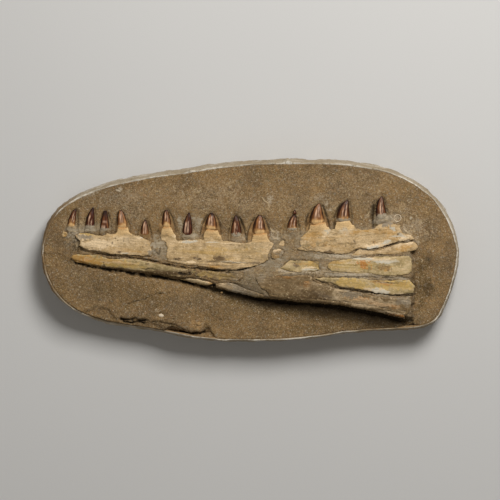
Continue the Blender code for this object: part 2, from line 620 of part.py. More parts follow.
def main():
    clear_scene()
    collection = new_collection(COLLECTION_NAME)
    cutters = new_collection(CUTTER_COLLECTION_NAME)
    build_jacket(collection)
    for bone in BONES:
        build_bone(bone, collection, cutters)
    for tooth in TEETH:
        build_tooth(tooth, TOOTH_AXIS_HEIGHT, collection, cutters)
    build_tooth(BROKEN_TIP, BROKEN_TIP_AXIS_HEIGHT, collection, cutters)
    build_ring(collection, cutters)
    build_nodule(collection, cutters)
    build_pebble(collection, cutters)
    build_chip(collection, cutters)
    add_cutter("ledge", LEDGE, LEDGE_FLOOR, cutters)
    add_cutter("crevice", CREVICE, CREVICE_FLOOR, cutters)
    bed = build_bed(new_collection(BED_COLLECTION_NAME))
    build_matrix(collection, bed, cutters)


main()
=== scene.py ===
"""Looks of a mosasaur's lower jaw in its slab of rock, wrapped in a plaster field jacket.

The solids come from the frame. Each one is replaced here by a finer mesh of the same piece: rough
rock with tool marks, fibrous flaking bone, ridged enamel and lumpy plaster. Lengths in the tables
are millimetres in the frame of the slab: +X runs from the snout to the broken rear end, +Y from
the lower edge of the jaw to its teeth, and +Z out of the face.
"""

import math
from collections import namedtuple

import bpy
import numpy as np
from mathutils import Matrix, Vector
from mathutils.geometry import delaunay_2d_cdt


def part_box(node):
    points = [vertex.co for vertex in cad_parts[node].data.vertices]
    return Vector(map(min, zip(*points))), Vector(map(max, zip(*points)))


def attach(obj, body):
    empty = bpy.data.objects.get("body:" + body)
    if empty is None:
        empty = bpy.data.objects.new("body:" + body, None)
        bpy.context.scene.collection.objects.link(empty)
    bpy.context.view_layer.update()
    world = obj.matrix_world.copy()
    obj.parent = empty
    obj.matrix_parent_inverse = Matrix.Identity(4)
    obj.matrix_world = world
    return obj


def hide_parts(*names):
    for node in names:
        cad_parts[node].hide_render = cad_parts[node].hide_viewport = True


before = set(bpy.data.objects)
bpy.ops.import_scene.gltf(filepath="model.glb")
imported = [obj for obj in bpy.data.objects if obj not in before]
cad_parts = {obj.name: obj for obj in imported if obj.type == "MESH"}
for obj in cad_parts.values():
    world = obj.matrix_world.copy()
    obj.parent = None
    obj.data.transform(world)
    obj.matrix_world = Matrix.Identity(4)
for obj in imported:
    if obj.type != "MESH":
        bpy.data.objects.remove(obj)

bl_info = {
    "name": "Mosasaur jaw slab",
    "version": (1, 0, 0),
    "blender": (4, 5, 0),
    "location": "3D View > Sidebar > Fossil",
    "description": "Rock, bone, enamel and plaster of a fossil jaw in its field jacket",
    "category": "Object",
}

MM = 0.001
BODY = "root"

# A triangle at the border of a mesh is kept if its middle lies further inside than this.
SLIVER = 1e-6

# Heights above the surface that the slab lies on. NO_POCKET is above all of the rock.
FACE = 50.0
POCKET_FLOOR = 43.3
TOOTH_POCKET_FLOOR = 41.0
NO_POCKET = 99.0
SLAB_FLOOR = 9.3
JACKET_FLOOR = 9.0

# The jacket: the radius of its rounded foot and the steps round it, the swell of its wall, its gap to
# the rock, how far out its rings lie on the underside, and the heights of the rings on its wall.
JACKET_FOOT = 11.0
FOOT_STEPS = 5
JACKET_BELLY = 2.4
CONTACT_GAP = 0.1
BED_RINGS = np.linspace(0.03, 0.98, 26)
WALL_RINGS = np.linspace(13, 47, 20)

# Rings of the jacket's rim from its outer to its inner side: how far in one lies, whether it takes
# part in the lip that laps over the rock, how far down it lies, how white it is at the lower and at
# the upper side of the slab, and how dusty it is. WHOLE stands for the width of the rim. The last
# ring lies on the tray's floor. WALL_WHITE is how white the wall under the rim is.
WHOLE = math.inf
RimRing = namedtuple("RimRing", "inset lapped drop white far_white dust")
RIM_RINGS = [RimRing(*row) for row in [
    (0.25, 0, 0.5, 0.5, 0.2, 0.0),
    (0.9, 0, 0.0, 1.0, 0.5, 0.0),
    (1.7, 0, -0.15, 1.0, 1.0, 0.2),
    (2.6, 0, 0.1, 0.3, 1.3, 0.9),
    (WHOLE, 0, 0.6, 0.0, 1.3, 1.0),
    (WHOLE, 1, 1.5, 0.0, 1.0, 1.0),
    (WHOLE, 1, 3.0, 0.0, 0.0, 1.0),
    (WHOLE, 0, 8.0, 0.0, 0.0, 1.0),
    (WHOLE, 0, FACE, 0.0, 0.0, 1.0),
]]
WALL_WHITE = 0.15

# Where the rim sags beside the broken ledges, and where blobs of plaster stick out of it: place along
# +X, reach, and depth or height.
RIM_SAG = (-205, 70, 7.0)
RIM_BLOBS = [(60, 5.5, 4.5), (-94, 7, 2.0)]

# Stretches of clean white rim: middle, reach and strength.
RIM_WHITE = [
    (-334, 4, 10, 0.9), (-302, 66, 14, 0.8), (-272, 90, 26, 1.0), (-215, 109, 34, 0.9),
    (-150, 124, 40, 1.0), (-60, 136, 60, 1.0), (60, 144, 40, 0.8), (150, 141, 50, 0.9),
    (255, 115, 40, 0.9), (322, 40, 50, 1.0), (332, -25, 34, 1.2), (320, -70, 26, 1.2),
    (305, -95, 24, 1.0), (-275, -99, 14, 0.8), (-190, -121, 14, 0.7), (-120, -133, 16, 0.8),
    (-82, -140, 18, 0.9), (-38, -144, 18, 0.9), (10, -144, 18, 0.8), (80, -141, 36, 1.0),
    (150, -130, 16, 0.8),
]

# How the rock meets the bones: how far its bed lies under their general surface, how far a bone
# stands out of it, how far from a bone it is held down, and how steeply it rises there.
BED_DROP = 1.3
BONE_PROUD = 1.1
BONE_REACH = 9.0
ROCK_SLOPE = 0.8

# Spots of the rock, as middle and reach along +X and +Y: the hollow behind the jaw, the painted
# shade in it, and the pebbly rubble at the snout.
HOLLOW = (283, -45, 20, 60)
HOLLOW_SHADE = (284, -42, 26, 62)
RUBBLE = (-276, 12, 15, 10)

# Shape of the whole jaw: its two edges in plan, the height of its crest along +X, and its section as
# the share of that height from the upper edge at 0 to the lower at 1.
JAW_UPPER_EDGE = [(-307, 20), (-280, 28), (-190, 28), (-150, 19), (0, 16), (90, 30), (170, 38), (275, 30)]
JAW_LOWER_EDGE = [(-307, -3), (-286, -12), (-240, -24), (-176, -32), (-112, -44), (-57, -57),
                  (20, -75), (80, -81), (144, -86), (208, -98), (275, -112)]
JAW_CREST_HEIGHT = [(-307, 5), (-240, 7.5), (-150, 9.5), (0, 12), (110, 15), (275, 18)]
JAW_CROSS_SECTION = [(-0.3, 0.24), (0.0, 0.34), (0.25, 0.72), (0.55, 1.0), (0.8, 0.92), (1.0, 0.55)]

# Ends of the bed that the jaw lies on, and the direction of the filler's streaks in degrees.
JAW_FRONT = -268.0
JAW_REAR = 259.0
FILLER_GRAIN = -5.0

# The rock under the lower edge of the jaw, by place along +X: depth of the gouge, and width of the
# painted shadow in the undercut. Then how far up from its lower edge a bone is rounded off.
GOUGE_DEPTH = [(-290, 1.0), (-150, 2.0), (20, 4.5), (240, 5.5)]
UNDERCUT_SHADOW_WIDTH = [(-120, 4), (-60, 7), (-10, 14), (60, 16), (120, 22), (200, 24), (262, 15)]
BONE_ROUNDING = [(-290, 3.0), (-100, 4.0), (60, 8.0), (260, 9.0)]

# The stage, in metres: half the floor's side and its level, the point that the camera and the lights
# look at, and the places of the lights from there. Then the colour of the even light.
FLOOR_HALF = 4.0
FLOOR_LEVEL = -0.0003
AIM = (0.0001, 0.0029, FACE * MM)
KEY_PLACE = (0.8, 1.8, 2.05)
FILL_PLACE = (-1.2, -1.8, 2.2)
WARM_WHITE = (1.0, 0.96, 0.9, 1.0)

# Bones: the node, its finish, how far it stands above the jaw's general surface, and the direction
# of its fibres in degrees from +X.
Bone = namedtuple("Bone", "node finish lift grain")
BONES = {
    "dentary": [
        Bone("jaw_tip_chip", "pale", 0.0, 0), Bone("dentary_front", "pale", 1.2, -3),
        Bone("dentary_middle", "pale", 0.6, -3), Bone("dentary_rear", "pale", 0.8, 3),
        Bone("dentary_strip", "pale", -0.8, 8), Bone("dentary_splinter", "pale", -2.0, 30),
        Bone("orange_chip", "brown", -1.5, 0)],
    "rear": [
        Bone("surangular_front", "yellow", -1.6, -2), Bone("surangular_rear", "yellow", 0.4, 1),
        Bone("angular_strip", "yellow", 0.9, -4), Bone("angular", "brown", 0.0, -7)],
    "splenial": [
        Bone("splenial_front", "yellow", -0.4, -7), Bone("splenial_flake", "yellow", -2.4, -14),
        Bone("splenial_middle", "brown", -1.2, -9), Bone("splenial_rear", "brown", -1.6, -17)],
}

# Crowns: the node, how dark its enamel is, how far the dark of its tip and of its front and rear
# edges reaches (the edges partly dark enamel, partly painted shade on the flanks), how high its amber
# foot and the grey filler on it reach, and its pale streaks (partly pink enamel, partly painted
# reflections) as place across from -1 at the front edge to 1, half width, and the span from foot to tip.
Crown = namedtuple("Crown", "node tone tip front rear foot filler streaks")
CROWNS = [Crown(*row) for row in [
    ("tooth_01", 0.75, 0.45, 0.5, 0.3, 0.16, 0, [(0, 0.16, 0.25, 0.75), (0.45, 0.1, 0.2, 0.6)]),
    ("tooth_02", 1, 0.6, 0.8, 0.55, 0, 0.07, [(-0.3, 0.12, 0.08, 0.6), (0.3, 0.08, 0, 0.4)]),
    ("tooth_03", 0.65, 0.7, 0.5, 0.5, 0, 0.05, [(-0.3, 0.4, 0.02, 0.2), (0, 0.5, 0.34, 0.44)]),
    ("tooth_04", 0.12, 0.18, 0.3, 0.5, 0.12, 0, [(-0.3, 0.14, 0.2, 0.8), (0.12, 0.12, 0.2, 0.9)]),
    ("tooth_05", 0.3, 0.3, 0.8, 0.7, 0, 0, [(-0.3, 0.16, 0, 0.85), (0.25, 0.14, 0, 0.7)]),
    ("tooth_06", 0.5, 0.36, 0.85, 0.5, 0.14, 0, [(-0.25, 0.12, 0.3, 0.9), (0.3, 0.1, 0.2, 0.7)]),
    ("tooth_07", 0.85, 0.6, 0.5, 0.7, 0, 0, [(-0.45, 0.2, 0, 0.5), (0.12, 0.16, 0, 0.55)]),
    ("tooth_08", 0.3, 0.32, 0.6, 0.5, 0.12, 0, [(-0.35, 0.14, 0.15, 0.7), (0.1, 0.14, 0.15, 0.8)]),
    ("tooth_09", 0.7, 0.55, 0.5, 0.6, 0, 0.04, [(-0.35, 0.12, 0.05, 0.65), (0.1, 0.08, 0, 0.45)]),
    ("tooth_10", 0.28, 0.26, 0.8, 0.5, 0.1, 0, [(0.1, 0.12, 0.2, 0.8), (0.45, 0.1, 0.2, 0.7)]),
    ("tooth_11", 0.6, 0.45, 0.6, 0.4, 0.06, 0.04, [(-0.35, 0.1, 0.1, 0.8), (0.4, 0.1, 0.1, 0.9)]),
    ("tooth_11_tip", 0.95, 0.6, 0.5, 0.5, 0, 0, [(0, 0.2, 0.3, 0.6)]),
    ("tooth_12", 0.32, 0.22, 0.55, 0.45, 0.12, 0, [(0.2, 0.12, 0.25, 0.9), (-0.25, 0.1, 0.15, 0.7)]),
    ("tooth_13", 0.85, 0.5, 0.85, 0.5, 0.05, 0.03, [(0.35, 0.1, 0.15, 0.95), (-0.2, 0.08, 0.1, 0.5)]),
    ("tooth_14", 0.8, 0.3, 0.8, 0.45, 0, 0.1, [(-0.05, 0.16, 0.05, 0.7), (0.35, 0.08, 0.1, 0.95)]),
]]

# Shape of the crowns: the rings of their tubes in the frame, how far up they bend, how high a section
# is against its half width, its facets and how full it is, and the slope of the rock beside them. A
# crown whose tip has a half width of more than BROKEN_TIP_WIDTH is broken off there.
CROWN_RINGS_IN_FRAME = 5
CROWN_BEND = 0.55
CROWN_FLATTENING = 0.72
CROWN_FACETS = 12
CROWN_FULLNESS = 0.82
CROWN_HOLLOW_SLOPE = 0.4
BROKEN_TIP_WIDTH = 1.6

# Roots of the bone under the crowns: their length and how they widen, and the least height of an
# amber foot whose orange runs on over the bone.
ROOT_LENGTH = 15.0
ROOT_FLARE = 0.28
LEAST_NECK = 0.1

# What sets the kinds of bone apart: how rubbed one is, the darkest and lightest of its fibres and of
# its speckle, how strong its brown streaks and pores are, how thick its layers are against the
# others', and how bare and pale a flaked layer is.
BoneKind = namedtuple("BoneKind", "rubbed fibres speckle streaks pores layers bare")
BONE_KINDS = {
    "pale": BoneKind(0.35, (0.88, 1.12), (0.84, 1.14), 0.5, 0.6, 1.0, 0.3),
    "yellow": BoneKind(0.35, (0.93, 1.07), (0.92, 1.08), 0.2, 0.2, 0.5, 0.3),
    "brown": BoneKind(0.15, (0.84, 1.14), (0.84, 1.14), 0.5, 0.6, 0.6, 0.1),
}

# Stains in the order in which they are laid on a bone, and how well each covers.
BONE_STAINS = {"olive_and_underside_shade": 0.8, "yellow": 0.85, "ochre": 0.85, "rust": 0.9, "brown": 0.85, "pale": 0.85,
               "chalk": 0.9, "grey": 0.95}

# Blotches all over the rock: colour, size, distortion, the noise where one begins and where it is
# full, and how well it covers.
ROCK_BLOTCHES = [
    ("rock_grey", 3.4, 0.3, 0.52, 0.72, 0.6),
    ("rock_red", 4.4, 0.5, 0.56, 0.72, 0.35),
    ("rock_olive", 5.2, 0.4, 0.54, 0.74, 0.5),
]

# Patches of colour by kind: middle, half length, half width, strength, and the turn in degrees where
# there is one. The order of the kinds sets the seeds of their ragged edges.
Patch = namedtuple("Patch", "x y half_length half_width strength turn", defaults=[0])
BONE_PATCHES = {
    # Bleached bone; some strips, such as the one at (206, 11.5), are painted highlights.
    "pale": [
        (2, -68, 14, 5, 0.5, -20), (-272, 22, 8, 6, 1), (163, -66, 20, 5, 0.5, -6),
        (176, -84, 26, 6, 0.5, -9), (150, -60, 14, 3, 0.5, -4), (-121, 28, 12, 9, 1),
        (-205, 18, 40, 9, 0.4, -4), (-255, 10, 20, 7, 0.6, -4), (-212, -13, 44, 3, 0.3, -6),
        (128, 30, 14, 5, 0.5), (-30, 14, 20, 1.5, 0.6), (-188, -18, 16, 2, 0.5, -5),
        (192, -78, 66, 7.5, 0.48, -8), (-30, -56, 26, 6, 0.5, -14), (247, 20, 18, 8, 0.7, 10),
        (116, 34, 14, 9, 0.6), (210, -52, 40, 6, 0.35, -4), (-282, 27, 12, 5, 0.5), (-250, 2, 14, 5, 0.6),
        (-196, -6, 26, 4, 0.4, -4), (130, -52, 26, 4, 0.3, -8), (186, -60, 5, 2.5, 0.8),
        (147, -78, 22, 4, 0.5, -8), (226, -97, 25, 2.5, 0.7, -8), (-84, -46, 26, 5, 0.6, -14),
        (-262, 24, 19, 5, 0.3), (-240, 13, 26, 8, 0.8, -4), (-208, 16, 24, 7, 0.6, -3),
        (-256, 12, 17, 5, 1, -4), (-227, 11, 14, 5, 0.5), (-178, 23, 5, 2.6, 0.9),
        (-104, 16.5, 13, 2.2, 0.9), (-60, -17, 70, 1.8, 0.15, -2), (-95, -15, 10, 1.8, 1),
        (-28, 10, 22, 6, 0.35), (7, 2, 22, 13, 0.3), (121, 36, 6, 8, 0.9), (146, 41, 13, 6, 0.9),
        (141, -4, 16, 1.4, 1), (206, 11.5, 27, 3.8, 1, 8), (152, 19, 35, 5, 0.3, 3),
        (195, -10.5, 38, 2.6, 0.9, -1), (163, -16.5, 14, 2.6, 0.6), (94, -24.5, 14, 2.2, 0.9),
        (201, -61, 22, 4.2, 1, -4), (240, -66, 14, 2.4, 0.5, -4), (138, -66, 13, 10, 0.55, -8),
        (200, -80, 44, 8, 0.38, -9), (249, -78, 12, 6.5, 0.5), (-144, -16.5, 32, 2, 0.5, -8),
        (-86, -43.5, 22, 3.2, 0.5, -10), (-220, -16.5, 29, 2.6, 0.5, -6), (232, 10, 28, 6, 0.45, 8),
        (41, 4, 9, 6, 0.6)],
    "ochre": [
        (130, -18, 24, 7, 0.4), (170, -50, 20, 4, 0.3, -5), (-222, -15, 50, 5, 0.7, -6),
        (-274, -10, 16, 6, 0.7, -4), (226, 22, 20, 3, 0.5, 4), (146, -15, 26, 3, 0.4),
        (165, -76, 30, 2.5, 0.5, -8), (-275, 27, 6, 2.5, 0.6), (-255, 27.5, 8, 1.5, 0.5),
        (212, -23, 14, 5, 0.5), (205, -47, 14, 2.5, 0.8, -3), (-64, -50, 8, 4, 0.7, -10),
        (140, 10, 30, 8, 0.35), (180, 34, 24, 5, 0.5, 6), (-202, 36.5, 10, 7, 0.8),
        (-200, 3, 38, 5, 0.45, -3), (-240, 15, 13, 8, 0.2), (-56, -22, 17, 3.5, 0.8, -4),
        (-130, 30, 11, 11, 0.45), (-60, 27, 13, 8, 0.4), (16, 22, 13, 6.5, 0.5), (108, 32, 19, 7, 0.6),
        (163, 31, 17, 5, 0.6), (213, 32, 27, 6.5, 0.6, 4), (197, 15, 4, 3.8, 0.7),
        (245, 8.5, 13, 5, 0.8, 6), (184, -25, 5, 4, 0.8), (221, -24.5, 6.5, 5, 0.7),
        (100, 20, 24, 14, 0.6), (88, -20, 20, 6, 0.5), (4, 0, 20, 12, 0.35), (244, -50, 14, 5, 0.4),
        (-294, 27.5, 6.5, 5.5, 0.8), (-266, -12, 26, 9, 1.5, -4), (46, 0, 16, 12, 0.35)],
    "rust": [
        (182, -17, 7.5, 9.5, 1.8), (89, -51, 10, 6.5, 0.4), (234, -101, 18, 2.7, 0.8, -8),
        (-265, -13, 16, 4.2, 0.35, -4), (56, -38, 19, 5, 0.3, -4), (172, -73, 30, 4, 0.55, -9),
        (214, -84, 30, 4, 0.5, -9), (217, -50.5, 13, 2, 0.7, -3), (125, -16.5, 5, 3.2, 0.3),
        (-160, -22.5, 10, 1.6, 0.4, -8)],
    # Brown stains; those along the lower edges of the jaw, as at (-190, -30) and (232, -105), are painted
    # shade.
    "brown": [
        (-134, -28, 26, 5, 0.3, -8), (128, -20, 20, 5, 0.2), (-190, -30, 42, 3, 0.6, -9),
        (-6, -46, 15, 6, 0.9, -10), (-96, -30, 6, 4, 0.8, 30), (-110, -36, 34, 3, 0.6, -9),
        (104, -21, 16, 6, 0.5), (180, 3, 14, 1.5, 0.4, 4), (28, 14, 10, 12, 0.2), (214, -24, 13, 5, 0.5),
        (170, -21, 6, 4, 0.4), (232, -105, 20, 5, 0.9, -8), (100, 6, 10, 4, 0.5), (118, 12, 6, 3, 0.5),
        (-66, -33, 26, 6, 0.35, -6), (96, 14, 16, 8, 0.3), (-60, -20.5, 50, 2.2, 0.5, -3),
        (105, -68, 28, 10, 0.6, -6), (80, -50, 12, 4, 0.4, -4), (-208, 0, 5, 2.1, 1, -4),
        (-116, -10.5, 8, 2.4, 0.85), (-84, -10.5, 9, 2.6, 0.9), (-51, -10, 11, 3.6, 0.95),
        (-48, -7, 7, 4, 0.35), (11, -16.5, 10, 2.6, 0.7), (125, -0.5, 10, 2.6, 0.9),
        (237, 28.5, 3, 1.8, 1), (198, 16.5, 3, 2.2, 0.7), (70, -21, 6.5, 3.8, 0.8),
        (216, -47.5, 24, 1.4, 0.8, -3), (62, -75, 35, 7, 0.6, -4), (221, -102, 30, 5, 0.5, -8),
        (-134, -33.5, 43, 3.5, 0.9, -6), (-102, -33.5, 11, 4.2, 1, -8), (-235, -21, 3, 1.4, 0.9),
        (-164, -18.5, 4, 1.4, 0.8), (50, -52, 30, 9, 0.3, -4), (100, -42, 13, 3.2, 0.3, -4),
        (-240, 20.5, 2.5, 1.6, 0.6), (-171, 7.5, 2.5, 1.6, 0.6)],
    "grey": [
        (0, -66, 16, 6, 0.6, -20), (150, -68, 14, 4, 0.4, -6), (160, -67, 20, 6, 0.7, -6),
        (214, 47, 14, 5, 0.9, -8), (248, -79, 16, 8, 0.6, -8), (-12, -54, 26, 7, 0.9, -14),
        (52, -4, 9, 6, 0.7), (-265, 24, 19, 5.5, 0.8), (69, 14, 10, 6.5, 0.9), (-147, 4.5, 11, 17, 1),
        (112, -62, 16, 10, 0.3, -8), (-18, -36, 10, 4, 0.4, -6), (12, -42, 14, 8, 0.6),
        (-18, -56, 24, 5, 0.5, -14), (-192, 20.5, 19, 2.6, 0.3), (29, -6.5, 8, 5, 0.4),
        (131, -70, 35, 5, 0.35, -8), (-72, 19, 13, 2.4, 0.3)],
    # Olive stain, and painted shade on the lower faces of the jaw.
    "olive_and_underside_shade": [
        (-128, -30, 34, 6, 0.6, -8), (-90, -37, 12, 5, 0.8, -8), (99, 18, 16, 12, 0.6),
        (130, -20, 22, 9, 0.55), (0, 4, 30, 16, 0.5), (245, -26, 12, 5, 0.25), (8, -70, 18, 5, 0.7, -20),
        (-70, -21, 50, 3, 0.3, -2), (133, -50, 27, 8, 0.6, -4), (-44, -34, 34, 8, 0.4, -8),
        (62, -74, 35, 6.5, 0.6, -4), (221, -99, 32, 5, 0.4, -8), (-136, -30, 43, 4.2, 0.6, -6),
        (-56, -56.5, 19, 5, 0.3, -12)],
    "yellow": [
        (-258, 29, 20, 2.4, 0.8), (-200, -21, 44, 5, 0.6, -6), (160, -20, 50, 9, 0.5),
        (104, -21, 19, 5.5, 0.8), (225, -51.5, 36, 8, 1, -3), (163, -50, 32, 8, 0.7, -5),
        (-212, -18, 48, 6.5, 0.8, -5), (216, 11, 32, 4, 0.4, 8), (-60, -2, 110, 15, 0.3, -2),
        (-56, -36, 46, 7, 0.5, -8)],
    "chalk": [
        (156, -66, 15, 3, 0.4, -6), (-97, 16.8, 15, 2, 1.2), (150, 34, 14, 6, 0.45),
        (-60, 16, 14, 1.2, 0.6), (238, 25, 16, 1.6, 0.7, -4), (225, -13, 14, 1.4, 0.6),
        (250, -80, 13, 5, 0.45, -20), (-18, -64, 24, 7, 0.5, -20), (195, 7.5, 13, 3, 1, 14),
        (216, 15.5, 9, 3, 1, 18), (140, -3.5, 16, 1.6, 1), (180, -9.5, 20, 2.2, 1, -2),
        (212, -15, 18, 3.2, 0.9), (209, -62.5, 18, 4, 1, -8), (123, 34, 5, 5, 0.7),
        (227, 37.5, 6, 3, 0.9, -20), (-28, -15.5, 30, 1.2, 0.6, -2), (-200, -1.5, 8, 1.2, 0.9),
        (96, -27, 14, 2, 0.9), (-171, 25, 4, 2.5, 0.9), (240, 28, 6, 3, 0.6, -20), (40, 18, 6, 3, 0.5),
        (222, -14, 18, 3, 0.6, -2)],
}

# Pitted places of the bones, and the colours of the rock, as such patches.
PITTED = [
    (-213, 14, 20, 9, 1), (-240, 8, 14, 5, 0.7), (150, 16, 50, 10, 0.7, 4), (103, 40, 12, 6, 0.8),
    (130, 32, 12, 5, 0.9), (236, 22, 16, 7, 0.8),
]
ROCK_PATCHES = {
    "grey": [
        (210, 54, 18, 9, 1), (-282, 20, 14, 10, 0.6), (-250, 38, 34, 9, 0.8), (-147, 4.5, 13, 19, 1),
        (41, -15.5, 24, 10, 1, -3), (120, -6, 43, 5.5, 1, -2), (164, -37, 46, 3.5, 1, -1),
        (232, -41, 25, 3.5, 1, -2), (-265, 37, 27, 6, 0.8), (-110, 47, 3.5, 13, 0.9, 6),
        (-85.5, 47, 5, 13, 0.9, -6), (-96.5, 26, 11, 6, 1), (-19, 21, 12, 5.5, 1),
        (213, 51.5, 13, 8, 0.9, -8), (67, 28, 14, 6.5, 0.5), (83, -35.5, 16, 5, 0.7),
        (-6, -46, 16, 13, 0.5), (153, 54, 13, 5, 0.3), (-288, 9.5, 9.5, 8, 0.4)],
    "pale": [
        (230, 54, 12, 8, 0.45), (-276, 22, 7, 7, 1), (-290, 30, 9, 6, 0.9), (264, 18, 8, 8, 0.5),
        (252, 20, 8, 3, 0.5, -20), (160, -39, 30, 2, 0.5, -3), (-274, 33, 10, 3, 0.8),
        (165, -32, 46, 2.5, 0.8, -3), (219, 46.5, 10, 2.4, 1.1, 8), (206, 50, 8, 4, 0.5),
        (-287, 27, 7, 5, 1), (-276, 26, 6, 4, 0.7), (-262, 38, 12, 3, 0.4), (262, 40, 12, 10, 0.25),
        (95, -30, 30, 4, 0.5), (-208, 100, 5, 2.6, 1, 20), (-254, 94, 14, 5, 0.5, 24),
        (32, 83, 5.5, 9.5, 0.6, -20), (38.5, 28.5, 5.5, 11, 0.6), (120, 78, 3.5, 3.2, 0.5),
        (126.5, 67, 6.5, 3.2, 0.5), (187.5, 55.5, 4, 4.2, 0.5), (-148, -94.5, 3, 2.6, 0.9),
        (-180, -85, 4, 2.6, 0.4), (-156.5, -80.5, 3, 2.2, 0.5), (257, 54, 2, 2.2, 0.9),
        (249, 35.5, 5.5, 1.8, 0.9, -50), (266.5, 29.5, 3, 3.2, 0.6), (-45.5, -61, 5, 3.2, 0.3),
        (-277, 31, 14, 3, 0.7, 3), (60, -29, 22, 5, 0.5, -4), (150, -6, 36, 3.5, 0.6, -2),
        (150, -35, 40, 3, 0.6, -1), (265.5, -10, 5, 3.8, 0.3), (110, 87.5, 8, 5, 0.3, 30),
        (-208, 87.5, 38, 13, 0.2, 12)],
    # Partly rubbed rock; the broad patches towards the top of the slab are painted light.
    "rubbed_and_lit": [
        (224, 58, 22, 10, 0.8), (234, 36, 30, 14, 0.4), (20, -88, 40, 8, 0.4, -6),
        (-270, -52, 22, 14, 0.2), (-276, 46, 30, 12, 0.5), (-96, 27, 16, 8, 0.9), (-18, 21, 14, 7, 0.9),
        (272, 42, 22, 26, 0.8), (240, 60, 22, 18, 0.5), (150, -36, 60, 6, 0.7), (-260, 3, 12, 6, 0.3),
        (-188, 60, 35, 16, 0.5, 8), (-64, 87, 57, 22, 0.6, 4), (-6, 70, 16, 19, 0.35),
        (-160, 89, 41, 16, 0.3, 12), (88, 78, 96, 19, 0.3), (176, 83, 41, 26, 0.3, -20),
        (240, 43, 38, 35, 0.25), (128, 118, 144, 16, 0.2), (-80, -77, 48, 16, 0.15),
        (-280, -29, 32, 22, 0.15), (152, -125, 64, 16, 0.1)],
    # Partly stains; the patches under the jaw, behind it and along the bottom are painted shadow.
    "shade": [
        (-280, 8, 12, 9, 0.7), (87, -36, 22, 5, 0.9, -2), (-12, -38, 14, 5, 0.6, -10),
        (-150, -75, 16, 6, 0.5, -20), (-174, -82, 12, 5, 0.4, -10), (40, 22, 26, 16, 0.4),
        (-10, -45, 20, 8, 0.9, -8), (235, -112, 44, 13, 0.7, -6), (150, -101, 90, 14, 0.5, -8),
        (273, -48, 14, 58, 0.6), (246, -112, 26, 10, 0.5), (-208, -61, 96, 22, 0.35, -8),
        (-80, -106, 64, 19, 0.2), (144, -122, 110, 14, 0.5, 4), (-307, -77, 19, 26, 0.3),
        (80, -125, 80, 10, 0.2), (-115, -42, 64, 8, 0.4, -9), (-16, -70, 48, 8, 0.3, -9),
        (-256, -112, 54, 10, 0.3, -10), (80, 127, 96, 10, 0.2), (-304, 67, 19, 22, 0.15)],
    "tan": [
        (-290, 18, 6, 5, 0.6), (-260, 10, 14, 9, 0.3), (-84, -117, 14, 8, 0.8), (-96, -106, 22, 8, 0.3),
        (-248, -106, 32, 5, 0.2, -10), (112, -136, 48, 3.2, 0.4), (-56, -77, 19, 6.5, 0.2),
        (288, 3, 25, 16, 0.2), (100, 95, 10, 13, 0.4, 20), (48, 131, 64, 6.5, 0.2)],
    "putty": [
        (-90, 60, 5, 8, 0.5, -30), (-96, 26, 11, 5.5, 0.9), (-112, 48, 3.5, 14, 0.5, 8),
        (-82, 46, 4.5, 16, 0.6, -8), (-19, 21, 10, 5.5, 1), (213, 51, 18, 11, 1, -8),
        (-284, 36, 16, 4.5, 1), (-250, 37, 24, 4, 0.6), (-151, 14, 7, 8, 1, 10), (-143, -2, 5, 8, 0.6),
        (67, 27, 11, 5, 0.4), (26, -20, 22, 4, 0.6, -4), (162, -8, 16, 3, 0.9),
        (160, -35, 44, 3, 0.8, -1), (222, -39, 30, 2.5, 0.6, -2), (150, 52, 12, 4, 0.7),
        (-98, 45, 14, 15, 0.35), (118, -25, 6, 8, 0.4), (-150, 27, 5, 5, 0.5)],
}

# Cracks and carved grooves: half width, depth, strength of their painted shade, and the line they follow.
Groove = namedtuple("Groove", "width depth dark line")
BONE_GROOVES = [Groove(*row) for row in [
    (2.2, 2, 1, [(-72, -56.5), (-65, -55), (-58, -52)]),
    (1, 0.8, 1, [(-86, -24.8), (-70, -27), (-50, -28.7), (-30, -29.8), (-14, -28.5), (2, -25.5)]),
    (0.8, 0.8, 0.5, [(-268, 17.5), (-256, 18), (-246, 19.5), (-236, 21.5)]),
    (2.2, 1.6, 0.85, [(-114, -33), (-104, -36), (-94, -36.5)]),
    (2.6, 1.4, 0.9, [(-88, -27), (-92, -31), (-99, -35)]),
    (0.8, 0.6, 0.6, [(170, -39.5), (186, -40.5), (200, -40)]),
    (0.7, 0.5, 0.5, [(205, -22), (214, -21), (224, -26), (226, -31)]),
    (0.8, 0.7, 0.5, [(84, 8), (92, 3), (104, 1)]),
    (0.7, 0.5, 0.4, [(88, 24), (90, 14), (87, 8)]),
    (1, 0.8, 0.5, [(-131, -11), (-104, -14), (-80, -15), (-54, -16), (-28, -17), (-6, -18), (13, -19)]),
    (0.7, 0.4, 0.3, [(-112, -16.5), (-80, -19.5), (-40, -22), (0, -21)]),
    (0.6, 0.8, 0.6, [(-84.5, -6.5), (-84, -13), (-85.5, -21)]),
    (0.6, 0.5, 0.3, [(-38, 12.5), (-25, 11)]),
    (0.8, 1.2, 0.9, [(75, 0.5), (99, -2), (125, -5), (152, -4.5), (163, -0.5)]),
    (0.7, 0.4, 0.25, [(109, 22), (144, 24.5), (179, 25.5), (216, 30)]),
    (0.7, 0.4, 0.3, [(120, -16.5), (152, -20.5), (195, -21), (237, -16.5)]),
    (0.8, 0.7, 0.6, [(29, -66), (56, -70.5), (88, -73), (128, -77), (176, -82.5), (227, -91.5),
                     (248, -94.5)]),
    (0.7, 0.5, 0.4, [(144, -88.5), (184, -94.5), (224, -103.5)]),
    (0.9, 0.8, 0.7, [(-177, -27.5), (-160, -27), (-139, -30), (-115, -31.5)]),
    (0.8, 1, 0.8, [(-235, -17), (-232.5, -24.5)]),
    (1, 1.2, 0.9, [(-105.5, -25), (-94.5, -29), (-90, -34.5)]),
    (0.7, 0.6, 0.5, [(-80, -30.5), (-56, -36.5), (-28, -41), (-6, -46.5)]),
]]
